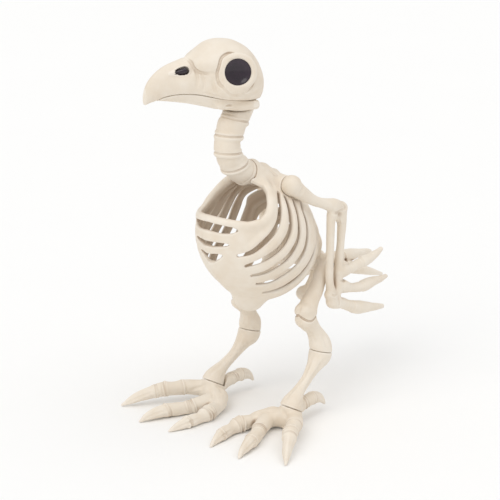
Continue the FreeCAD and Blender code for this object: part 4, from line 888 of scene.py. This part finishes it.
    # the opening under the neck and the three slots of the breast plate, cut towards the middle of the chest
    u_ = 50 * math.pi / 180
    for pts, kk, top in ((OPENING, 2.4, True), (SLOT_1, 1.6, False), (SLOT_2, 1.4, False), (SLOT_3, 1.5, False)):
        full = [(a * u_, b * u_) for a, b in pts] + [(-a * u_, b * u_) for a, b in pts[::-1] if a > 0]
        sel = np.nonzero((k0 > 0.84) & (f.F < 5) & np.broadcast_to(Y < 12, f.F.shape))
        px, py, pz = f.ax[0][sel[0]], f.ax[1][sel[1]] - F4(10), f.ax[2][sel[2]] - F4(195)
        az = np.arctan2(px, -py)
        el = np.arcsin(pz / np.maximum(np.sqrt(px * px + py * py + pz * pz), 1))
        D = poly2(az * 50, el * 50, full)
        f.F[sel] = smax(f.F[sel], -D, kk)
    prism_cut(f, REAR, "YZ", -60, 60, 2.4)
    # shoulder pad and the room for the wing's ball and upper bone
    f.rod((12.6, 19.6, 233.6), (1, 0, 0), 8.6, 14.05, k=4.0, rnd=0.6)
    arm = Field((0, -70, 105), (52.5, 81, 263), h, half=True)
    arm.chain([(33, 19.6, 233.6, 10.2), (36, 28.4, 226.0, 8.9), (38.5, 35.7, 220.1, 7.5), (41, 44.5, 214.7, 6.6)], k=0)
    f.F = smax(f.F, -np.maximum(arm.F, np.broadcast_to(F4(26.65) - X, f.F.shape)), 0.6)
    f.rod((4, 19.6, 233.6), (1, 0, 0), 4.9, 13.5, k=0.3, mode="cut")
    f.rod((16, 19.6, 233.6), (1, 0, 0), 1.9, 14, k=0.3, mode="cut")
    # neck socket, end of the back bone
    f.rod((0, -8, 245.6), -ND, 13.5, 26, k=0.7, mode="cut")
    f.rod((0, -8, 245.6), ND, 8.6, 10.2, k=0.3, mode="cut")
    f.rod(SP_END, SP_DIR, 11, 20, k=0.8, mode="cut")
    f.rod(SP_END - SP_DIR * 9.4, SP_DIR, 3.8, 12, k=0.3, mode="cut")

    # mask for the painted shade on the inner face of the cage: 1 on the inner skin, 0 on the outer skin
    def inside(V):
        return {"inside": np.clip((0.975 - cage_k(V)) / 0.035, 0, 1)}
    build("rib_cage", f, "torso", ["torso_left_half", "torso_right_half"], BONE, extra=inside)


# ---------------------------------------------------------------- pelvis and tail
def make_pelvis():
    f = Field((0, 58, 94), (27.5, 112, 190), 0.6, half=True)
    st = [(0, 72.5, 176, 6.6, 1), (0, 75.6, 167, 8, 1.12), (0, 77, 157, 9.4, 1.38), (0, 80, 147, 10.6, 1.41), (0, 88, 139, 9.4, 1.32), (0, 97, 134, 7.8, 1.25), (0, 109, 131.2, 7, 1.14)]
    C = smooth_chain([(0, 69.6, 182, 6.6, 1)] + st + [(0, 118, 131, 7, 1.1)], 1.4)
    f.chain(C[:, :4], k=1, raw=True, wide=list(C[:, 4]))
    f.rod((-2, 74, 143), (1, 0, 0), 8, 27.1, k=3.0, rnd=0.5)
    f.chain([(0, 97, 136, 5.6), (0, 96, 127, 5.2), (0, 92.4, 117.5, 4.7), (0, 86, 110, 4.8), (0, 79, 105.6, 5.8)], k=3)
    f.ball((0, 77.2, 105.2), 7.3, k=2)
    f.chain([(7, 74.5, 171, 5.0), (14, 74.5, 169, 5.6), (18, 73.5, 162, 6.2), (18.2, 71.5, 152, 6.4), (18, 71.5, 143, 6.4)], k=5)
    # blades either side and the dimples between them
    f.chain([(8, 74, 163, 3.4), (12, 78, 154, 4.2), (13, 84, 145, 4.4), (9, 92, 138, 3.6)], k=4)
    f.wobble(0.16, 16, 21)
    f.crease([(7, 70, 158), (7, 69, 150), (4, 68, 142)], r=1.4, depth=0.8, k=2)
    for y, z in ((88, 149.5), (96, 144.2), (103, 140.4)):
        f.ball((0, y, z), 3.2, k=3)
    f.slab((0, 108.1, 131.2), (0, 1, -0.1), k=1.2)
    f.slab(SP_END, -SP_DIR, k=0.8)
    f.rod(SP_END - SP_DIR * 8.8, SP_DIR, 3.4, 12, k=0.3)
    f.rod((0, 97, 132.6), (0, 1, -0.1), 3.4, 14, k=0.3, mode="cut")
    f.rod((12, 74, 143), (1, 0, 0), 1.75, 18, k=0.3, mode="cut")
    build("hip_block", f, "torso", ["pelvis"], BONE)


T0 = (0, 108.3, 131.2)


def make_tail():
    f = Field((0, 104, 94), (24, 187, 142), 0.55, half=True)
    f.chain([T0 + (6.9,), (0, 118, 131, 7.2), (0, 129, 130.2, 6.3), (0, 142, 128.6, 6.8), (0, 149, 128.1, 6.3), (0, 156, 127.5, 5.2), (0, 169, 126.3, 3.8), (0, 179, 125, 2.5), (0, 182, 124.6, 1.7)], k=0.6, wide=[1.1, 1.1, 1.05, 1.1, 1.05, 1, 1, 1])
    f.chain([(1.5, 112, 128.5, 5.6), (4, 125.6, 123.6, 5.9), (8, 139.9, 118.9, 6.3), (11, 152.4, 114.4, 5.3), (13, 162.9, 110.4, 4.2), (14.5, 172.6, 106.7, 3.0), (15.8, 181, 103.7, 1.7)], k=1.6)
    f.wobble(0.14, 13, 31)
    for p, d, R in (((0, 119.5, 131), (0, 1, -0.05), 7.3), ((0, 134.5, 129.6), (0, 1, -0.1), 6.5)):
        f.hoop(p, d, R + 0.2, 0.95, k=1.5)
    f.hoop((6.2, 133, 121.2), (3, 14, -4.8), 6.2, 0.9, k=1.5)
    f.slab((0, 108.5, 131.2), (0, -1, 0.1), k=0.8)
    f.rod((0, 97.4, 132.5), (0, 1, -0.1), 3.1, 15, k=0.3)
    build("tail", f, "torso", ["tail_fan"], BONE)


# ---------------------------------------------------------------- wings
WING_TURN = (math.radians(6), 19.6, 233.6)      # the right wing hangs a little further back


def make_wings():
    f = Field((22, 4, 78), (57, 151, 248), 0.6)
    f.chain([(33, 19.6, 233.6, 8.6), (36, 28.4, 226.0, 7.4), (38.5, 35.7, 220.1, 6.0), (41, 44.5, 214.7, 5.0), (43.5, 54.9, 210.6, 5.2), (45.6, 64, 207.4, 6.6), (46, 71, 205.2, 6.2), (46, 77.5, 201.4, 5.2)], k=1.2)
    f.chain([(46, 65.4, 207.3, 4.9), (46, 63.0, 197, 4.4), (46, 62.2, 178.3, 4.0), (46, 61.4, 156.4, 3.9), (46, 61.6, 133, 4.0), (46, 63.2, 122.1, 4.5), (46, 64.4, 114.6, 5.4), (46, 65.4, 109.5, 4.8)], k=2.4)
    f.chain([(46, 76.5, 203.6, 4.4), (46, 78.9, 198.5, 4.9), (46, 79.2, 192, 4.7), (46, 78.1, 173.5, 4.0), (46, 76.9, 159.6, 4.0), (46, 74.9, 141.9, 4.4), (46, 73.4, 124.9, 5.2), (46, 71.3, 113.3, 5.2), (46, 71, 108, 4.4)], k=2.4)
    f.ball((46, 79.2, 202.6), 4.5, k=3)
    f.chain([(46, 64.5, 198, 3.4), (46, 71, 193.5, 3.2), (46, 77, 190, 3.4)], k=4)
    f.ball((46, 60.6, 117.6), 4.2, k=3)
    f.chain([(46, 62.6, 109.8, 3.8), (46, 66.4, 108.4, 5.6), (46, 73, 107, 6.1), (46, 79.7, 105.1, 5.6), (47, 89, 100.2, 5.5), (47.4, 97, 96.9, 6.3), (48, 104, 94.8, 6.6), (48.4, 112, 92.8, 5.9), (49, 122, 90.6, 4.5), (49.6, 132, 88.6, 3.3), (50, 139.5, 87.1, 2.3)], k=2.2)
    f.chain([(46, 74.5, 123.5, 4.8), (46, 80.2, 122, 6.8), (46.5, 86.4, 119.7, 5.7), (47, 94.6, 117.2, 4.6), (47.5, 103, 115.6, 4.8), (48.2, 112, 115.4, 5.8), (48.7, 118, 116, 5.7), (49.5, 127, 116.8, 4.4), (50, 136, 117, 3.3), (50, 144.4, 117.5, 2.2)], k=2.2)
    f.chain([(46, 74.5, 137.6, 4.6), (46, 79.6, 137.5, 6.3), (46.5, 86, 137.2, 5.4), (47, 93, 137.7, 4.7), (47.5, 102, 139.1, 5.1), (48.4, 110.5, 140.6, 5.7), (49, 119, 142.2, 4.9), (50, 128, 145.1, 3.6), (50, 135.6, 147.9, 2.2)], k=2.2)
    f.ball((33, 19.6, 233.6), 9.6, k=2.5)
    f.wobble(0.16, 14, 41)
    # elbow: sculpted crease across the outer face, hollow between the two lower bones
    f.crease([(51, 60.5, 201.5), (51.5, 66, 200.5), (51.5, 71.5, 202), (50.5, 77, 202.5)], r=1.2, depth=1.1, k=1.5)
    f.crease([(41, 60.5, 201.5), (40.5, 66, 200.5), (40.5, 71.5, 202), (41.5, 77, 202.5)], r=1.2, depth=1.0, k=1.5)
    f.crease([(51.5, 74, 210), (52, 76.5, 206), (51.5, 77, 202)], r=0.9, depth=0.7, k=1.2)
    f.crease([(50, 70.5, 197), (50, 71, 190), (49.5, 70.6, 184)], r=1.3, depth=0.8, k=1.8)
    # neck of the upper bone under its ball
    f.crease([(43, 20, 226.5), (41, 25.5, 232), (38, 28, 237)], r=1.4, depth=0.7, k=2.2)
    # wrist knob and the roots of the fingers
    f.crease([(51, 59.5, 119.5), (51.5, 64, 117.5), (51, 68.5, 119)], r=0.9, depth=0.8, k=1.2)
    f.crease([(50.5, 69.8, 117), (51, 70, 110), (50.5, 69.5, 104)], r=0.9, depth=0.8, k=1.2)
    for p, d, R in (((46.1, 77.3, 129.8), (0, 0.15, 1), 5.6), ((46, 76.6, 114.6), (0, 0.25, 1), 5.8)):
        f.crease([(52, 71.5, p[2] + 0.5), (52.6, 76, p[2]), (51.5, 81, p[2] - 0.5)], r=0.9, depth=0.75, k=1.2)
    for p, d, R in (((46.9, 90.2, 118.3), (0.5, 8, -2.2), 5.2), ((46.7, 89.5, 137.4), (0.5, 8, 0.4), 5.0), ((46.9, 86.2, 101.8), (0.6, 8, -4.2), 5.6),
                    ((48.3, 107.2, 115.2), (1, 8, 0.2), 5.4), ((48.2, 106.4, 139.9), (1, 8, 1.4), 5.4), ((47.2, 93.2, 98.4), (0.6, 8, -3), 6.0)):
        f.hoop(p, d, R + 0.5, 0.85, k=1.6)
    # flat inner face at the shoulder, and its screw hole
    f.put(lambda X, Y, Z: np.maximum(X - F4(27), -(Z - 210)) + 0 * Y, (20, 0, 210), (27, 45, 250), 0.5, "cut")
    f.rod((26, 19.6, 233.6), (1, 0, 0), 1.75, 9.6, k=0.2, mode="cut")
    build("wing_left_bone", f, "wing_left_body", ["wing_left"], BONE, mirror_to=("wing_right_bone", "wing_right_body", ["wing_right"]), turn=WING_TURN)


# ---------------------------------------------------------------- legs
HOCK = np.array([46.3, 48.7, 64.3])
HOCK_N = unit((0, math.sin(math.radians(15.6)), math.cos(math.radians(15.6))))
ANK = np.array([51.3, -0.2, 20.2])
ANK_N = unit((0, 0.5, math.cos(math.radians(30))))


def make_thighs():
    f = Field((17, 12, 48), (62, 88, 158), 0.6)
    f.chain([(31.2, 75, 143.4, 7.4), (31.4, 72, 141, 8.2), (32, 66.2, 136.8, 7.5), (33.5, 60.8, 130.3, 7.0), (35.5, 53.3, 122.4, 7.6), (38, 43.7, 115.6, 8.3), (39.4, 38.6, 111.6, 9.2), (40.6, 34.6, 107.4, 9.8)], k=1)
    f.chain([(40.6, 34.2, 105.6, 9.4), (41, 33.4, 100.4, 9.9), (41.8, 35.4, 95.6, 8.9), (43, 40.6, 88.6, 7.4), (44.5, 46, 78.7, 8.9), (45.6, 48.8, 70.8, 10.9), (46.3, 49.4, 64, 10.9), (46.3, 48.6, 56, 10.4)], k=2.2)
    f.rod((25.6, 74, 143), (1, 0, 0), 9, 10.8, k=2.0, rnd=0.8)
    f.wobble(0.18, 16, 51)
    # knee: knobs above and below a wavy groove
    f.ball((43.5, 27.5, 109.5), 5.4, k=4.5)
    f.ball((44.5, 28.4, 98.6), 5.6, k=4.5)
    f.ball((37.5, 28.5, 108.5), 5.0, k=4.5)
    f.ball((38.5, 28.8, 98.4), 5.0, k=4.5)
    f.crease([(33, 36, 102.2), (34.5, 30, 102.6), (37.5, 25, 104.8), (41, 22.8, 105.4), (44.5, 24, 103.4), (48, 27, 100.6), (50.5, 31, 100.6), (51, 36, 102.4), (48.5, 42, 103)], r=0.85, depth=1.25, k=1.1, taper=False)
    f.crease([(41, 22.5, 109), (41.2, 23, 113.5)], r=1.6, depth=0.8, k=2.4)
    f.crease([(47.5, 26.5, 92), (47, 32, 84), (48, 37.5, 76)], r=1.4, depth=0.7, k=2.2)
    f.crease([(41, 29.8, 90), (41.5, 34, 82), (43, 37.4, 74)], r=1.4, depth=0.7, k=2.2)
    f.crease([(52.8, 44.5, 82), (54, 46, 75), (55.4, 47, 69)], r=1.5, depth=0.6, k=2.4)
    f.slab(HOCK, -HOCK_N, k=1.3)
    f.rod((20, 74, 143), (1, 0, 0), 1.9, 20, k=0.2, mode="cut")
    f.rod((36.5, 74, 143), (1, 0, 0), 5.2, 10, k=0.5, mode="cut")
    f.rod(HOCK - HOCK_N * 1, HOCK_N, 3.5, 11.6, k=0.2, mode="cut")
    f.rod(HOCK + HOCK_N * 6, HOCK_N, 4.5, 2.6, k=0.2, mode="cut")
    build("thigh_left_bone", f, "thigh_left_body", ["thigh_left"], BONE, mirror_to=("thigh_right_bone", "thigh_right_body", ["thigh_right"]))


def make_shanks():
    f = Field((32, -16, 7), (66, 66, 74), 0.55)
    f.chain([(46.3, 51, 72, 10.2), (46.3, 49.6, 65, 11.2), (46.4, 47.6, 59.4, 11.0), (46.8, 43.2, 55.2, 9.0), (47.2, 37.6, 50.4, 7.0), (48.3, 27.3, 42.4, 5.3), (49.8, 13.6, 33.8, 5.9), (50.6, 6.6, 28.6, 7.9), (51.2, 0.8, 22.6, 10.6), (51.4, -1.8, 18, 11.2), (51.4, -3.8, 14, 11.2)], k=1)
    f.wobble(0.16, 14, 61)
    # long shallow grooves down the front and the sides
    f.crease([(46.5, 36.5, 60), (47, 31, 50), (48.2, 22.5, 42.5), (49.6, 10, 33), (50.6, -4, 27)], r=1.6, depth=0.9, k=2.4)
    f.crease([(55.6, 42.6, 58), (53.4, 35.4, 49), (53, 25, 40.4), (54.6, 12, 31), (58.5, 2, 25.5)], r=1.5, depth=0.85, k=2.4)
    f.crease([(40.2, 37.8, 52), (41.8, 33.4, 47), (43.6, 25, 40.4), (45, 12, 31), (43.5, 2, 25.5)], r=1.5, depth=0.7, k=2.4)
    f.slab(HOCK - HOCK_N * 0.4, HOCK_N, k=1.3)
    f.slab(ANK, -ANK_N, k=1.2)
    f.rod(HOCK - HOCK_N * 7.4, HOCK_N, 3.3, 9, k=0.2, mode="cut")
    f.rod(ANK - ANK_N * 1, ANK_N, 3.5, 11.6, k=0.2, mode="cut")
    f.rod(ANK + ANK_N * 6, ANK_N, 4.5, 2.6, k=0.2, mode="cut")
    build("shank_left_bone", f, "shank_left_body", ["shank_left"], BONE, mirror_to=("shank_right_bone", "shank_right_body", ["shank_right"]))


TOES = {
    "medial": [(52, -2.4, 11.2, 9.6), (46, -6, 11, 9.3), (39, -9, 10.4, 8.9), (32, -12.5, 9.4, 8.3), (27, -18, 8.4, 7.7), (23.8, -25.6, 7.2, 6.4), (22.1, -33.1, 7.2, 7.3), (20.4, -41, 7.2, 7.4), (20.7, -51.8, 5.9, 5.5), (21.8, -62.6, 5.9, 6.0), (23.8, -74, 4.4, 4.4), (26.0, -82.5, 2.4, 2.5), (27.2, -87, 1.2, 1.2)],
    "middle": [(35, -8, 10.2, 8.6), (37.5, -20, 8.8, 7.9), (41.5, -32, 7.9, 7.4), (47.0, -43.4, 6.6, 6.2), (51.5, -52.4, 6.6, 6.8), (55.6, -62.0, 7.2, 6.4), (59.4, -72.6, 6.4, 5.2), (62.4, -82.8, 4.2, 3.2), (64.9, -88.6, 1.3, 1.3)],
    "lateral": [(51, 0, 11.2, 9.0), (57, -3.4, 12.6, 8.2), (64.8, -9.8, 13.4, 7.8), (71.7, -18.6, 14.6, 7.4), (77.7, -29.7, 14.6, 6.7), (82.8, -37.7, 15.0, 7.2), (88.5, -45.5, 13.2, 6.4), (94.0, -53.6, 10.6, 5.4), (100.6, -63.2, 6.6, 3.8), (106.8, -71.6, 1.9, 1.5)],
    "hallux": [(50, -2, 13, 8.4), (48.6, 12, 16.2, 6.9), (48, 22, 17.8, 5.9), (47.6, 31, 18.6, 6.1), (47.3, 39, 18.2, 5.7), (47.1, 46, 15.6, 4.5), (47.1, 51, 12.0, 3.1), (47.1, 54.4, 8.0, 1.5)],
}


def make_feet():
    f = Field((11, -94, -2), (112, 60, 40), 0.6)
    f.chain([(51.5, 3.6, 27, 10.4), (51.3, 0.8, 20.6, 10.9), (51, -1.0, 16, 11.0), (50.6, -1.6, 11, 11.0), (50.4, -1.8, 8, 9.6)], k=1)
    for key in ("medial", "middle", "lateral", "hallux"):
        f.chain(TOES[key], k=3.2)
    f.wobble(0.16, 13, 71)
    # wrinkled joints along each toe, soft and not quite square to it
    rng = np.random.default_rng(5)
    for key, spots in (("medial", (0.50, 0.56, 0.79)), ("middle", (0.34, 0.40, 0.66)), ("lateral", (0.34, 0.52, 0.62)), ("hallux", (0.42, 0.62))):
        C = smooth_chain(TOES[key], 0.8)
        n = len(C)
        for s_ in spots:
            i = int(s_ * n)
            d = unit(C[min(i + 2, n - 1), :3] - C[max(i - 2, 0), :3])
            p, r = C[i, :3], C[i, 3]
            d = unit(d + rng.normal(size=3) * 0.10)
            f.hoop(p, d, r - 1.2, 1.9, k=3.0, mode="add")
            for o in (-2.2, 0.3, 2.4):
                e_ = unit(d + rng.normal(size=3) * 0.09)
                f.hoop(p + d * (o + rng.uniform(-0.3, 0.3)), e_, r + 0.95, 0.62, k=1.2, mode="cut")
    # claws carry a ridge along the top, and begin at a soft cuff
    for key, a0 in (("medial", 0.70), ("middle", 0.70), ("lateral", 0.68), ("hallux", 0.66)):
        C = smooth_chain(TOES[key], 0.8)
        n = len(C)
        i = int(a0 * n)
        f.bead([tuple(C[j, :3] + np.array([0, 0, C[j, 3]])) for j in range(i, n - 4, 4)], r=1.3, proud=0.55, k=1.8)
        d = unit(C[i + 2, :3] - C[i - 2, :3])
        side = unit(np.cross(d, (0, 0, 1)))
        for sg in (-1, 1):
            f.crease([tuple(C[j, :3] + side * sg * C[j, 3] * 0.9 + np.array([0, 0, C[j, 3] * 0.35])) for j in range(i, n - 5, 4)], r=0.9, depth=0.5, k=1.6)
    # tendons over the instep
    f.crease([(44, -12, 19), (36, -17, 17.5), (29.5, -22, 15)], r=1.2, depth=0.7, k=2.2)
    f.crease([(52, -11, 19.5), (55, -14, 18), (60, -20, 14)], r=1.2, depth=0.7, k=2.2)
    f.crease([(41, -5, 19.5), (36, -7, 18.5), (31, -10, 16.5)], r=1.1, depth=0.6, k=2.2)
    w, X, Y, Z, ok = f.whole()
    f.slab((0, 0, 0.05), (0, 0, -1), k=0.9)
    # ankle face and pin hole
    f.rod(ANK - ANK_N * 0.4, ANK_N, 12.3, 26, k=1.2, mode="cut")
    f.rod(ANK - ANK_N * 7.4, ANK_N, 3.3, 9, k=0.2, mode="cut")
    build("foot_left_bone", f, "foot_left_body", ["foot_left"], BONE, mirror_to=("foot_right_bone", "foot_right_body", ["foot_right"]))


# ---------------------------------------------------------------- camera, light, floor
def make_stage():
    e, a = math.radians(17.46378841), math.radians(42.06405634)
    back = np.array([math.sin(a) * math.cos(e), -math.cos(a) * math.cos(e), math.sin(e)])
    T = np.array([0, -1.8818 + SHIFT_Y, 168.321])
    C = T + back * 1777.257
    cd = bpy.data.cameras.new("view")
    cam = bpy.data.objects.new("view", cd)
    bpy.context.scene.collection.objects.link(cam)
    cam.location = Vector(C * 0.001)
    cam.rotation_euler = Vector(-back).to_track_quat("-Z", "Y").to_euler()
    cd.sensor_width = 36.0
    cd.lens = 134.6514
    cd.clip_start, cd.clip_end = 0.05, 50
    bpy.context.scene.camera = cam

    me = bpy.data.meshes.new("floor")
    R = 6.0
    me.from_pydata([(-R, -R, 0), (R, -R, 0), (R, R, 0), (-R, R, 0)], [], [(0, 1, 2, 3)])
    me.materials.append(floor_material())
    fl = bpy.data.objects.new("floor", me)
    bpy.context.scene.collection.objects.link(fl)

    wd = bpy.data.worlds.new("studio")
    bpy.context.scene.world = wd
    wd.use_nodes = True
    nt = wd.node_tree
    nt.nodes.clear()
    o = nt.nodes.new("ShaderNodeOutputWorld")
    b = nt.nodes.new("ShaderNodeBackground")
    b.inputs[0].default_value = (1.0, 1.0, 1.0, 1)
    b.inputs[1].default_value = 0.70
    nt.links.new(b.outputs[0], o.inputs[0])

    def lamp(name, at, power, spread, look=(0, -0.04, 0.18), col=(1, 1, 1)):
        ld = bpy.data.lights.new(name, "SUN")
        ld.energy = power
        ld.angle = math.radians(spread)
        ld.color = col
        ob = bpy.data.objects.new(name, ld)
        bpy.context.scene.collection.objects.link(ob)
        ob.location = at
        ob.rotation_euler = (Vector(look) - Vector(at)).to_track_quat("-Z", "Y").to_euler()
    lamp("key", (0.15, -1.5, 1.75), 0.80, 42, col=(1, 0.99, 0.97))
    lamp("top", (0.5, 0.3, 1.9), 0.55, 60)
    vs = bpy.context.scene.view_settings
    vs.view_transform = "Standard"
    vs.look = "None"
    vs.exposure = 0.0


def give(node, mat):
    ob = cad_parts[node]
    for i in range(max(1, len(ob.material_slots))):
        if len(ob.material_slots) == 0:
            break
        ob.material_slots[i].link = "OBJECT"
        ob.material_slots[i].material = mat


make_stage()
make_head()
make_jaw()
make_neck()
make_torso()
make_pelvis()
make_tail()
make_wings()
make_thighs()
make_shanks()
make_feet()
for n in ("hip_screws", "shoulder_screw_left", "shoulder_screw_right", "jaw_hinge_pins"):
    give(n, STEEL)
for n in ("hip_washers", "shoulder_washer_left", "shoulder_washer_right"):
    give(n, PLAIN)
for n in ("hock_pin_left", "hock_pin_right", "ankle_pin_left", "ankle_pin_right"):
    give(n, BONE)

bpy.context.view_layer.update()
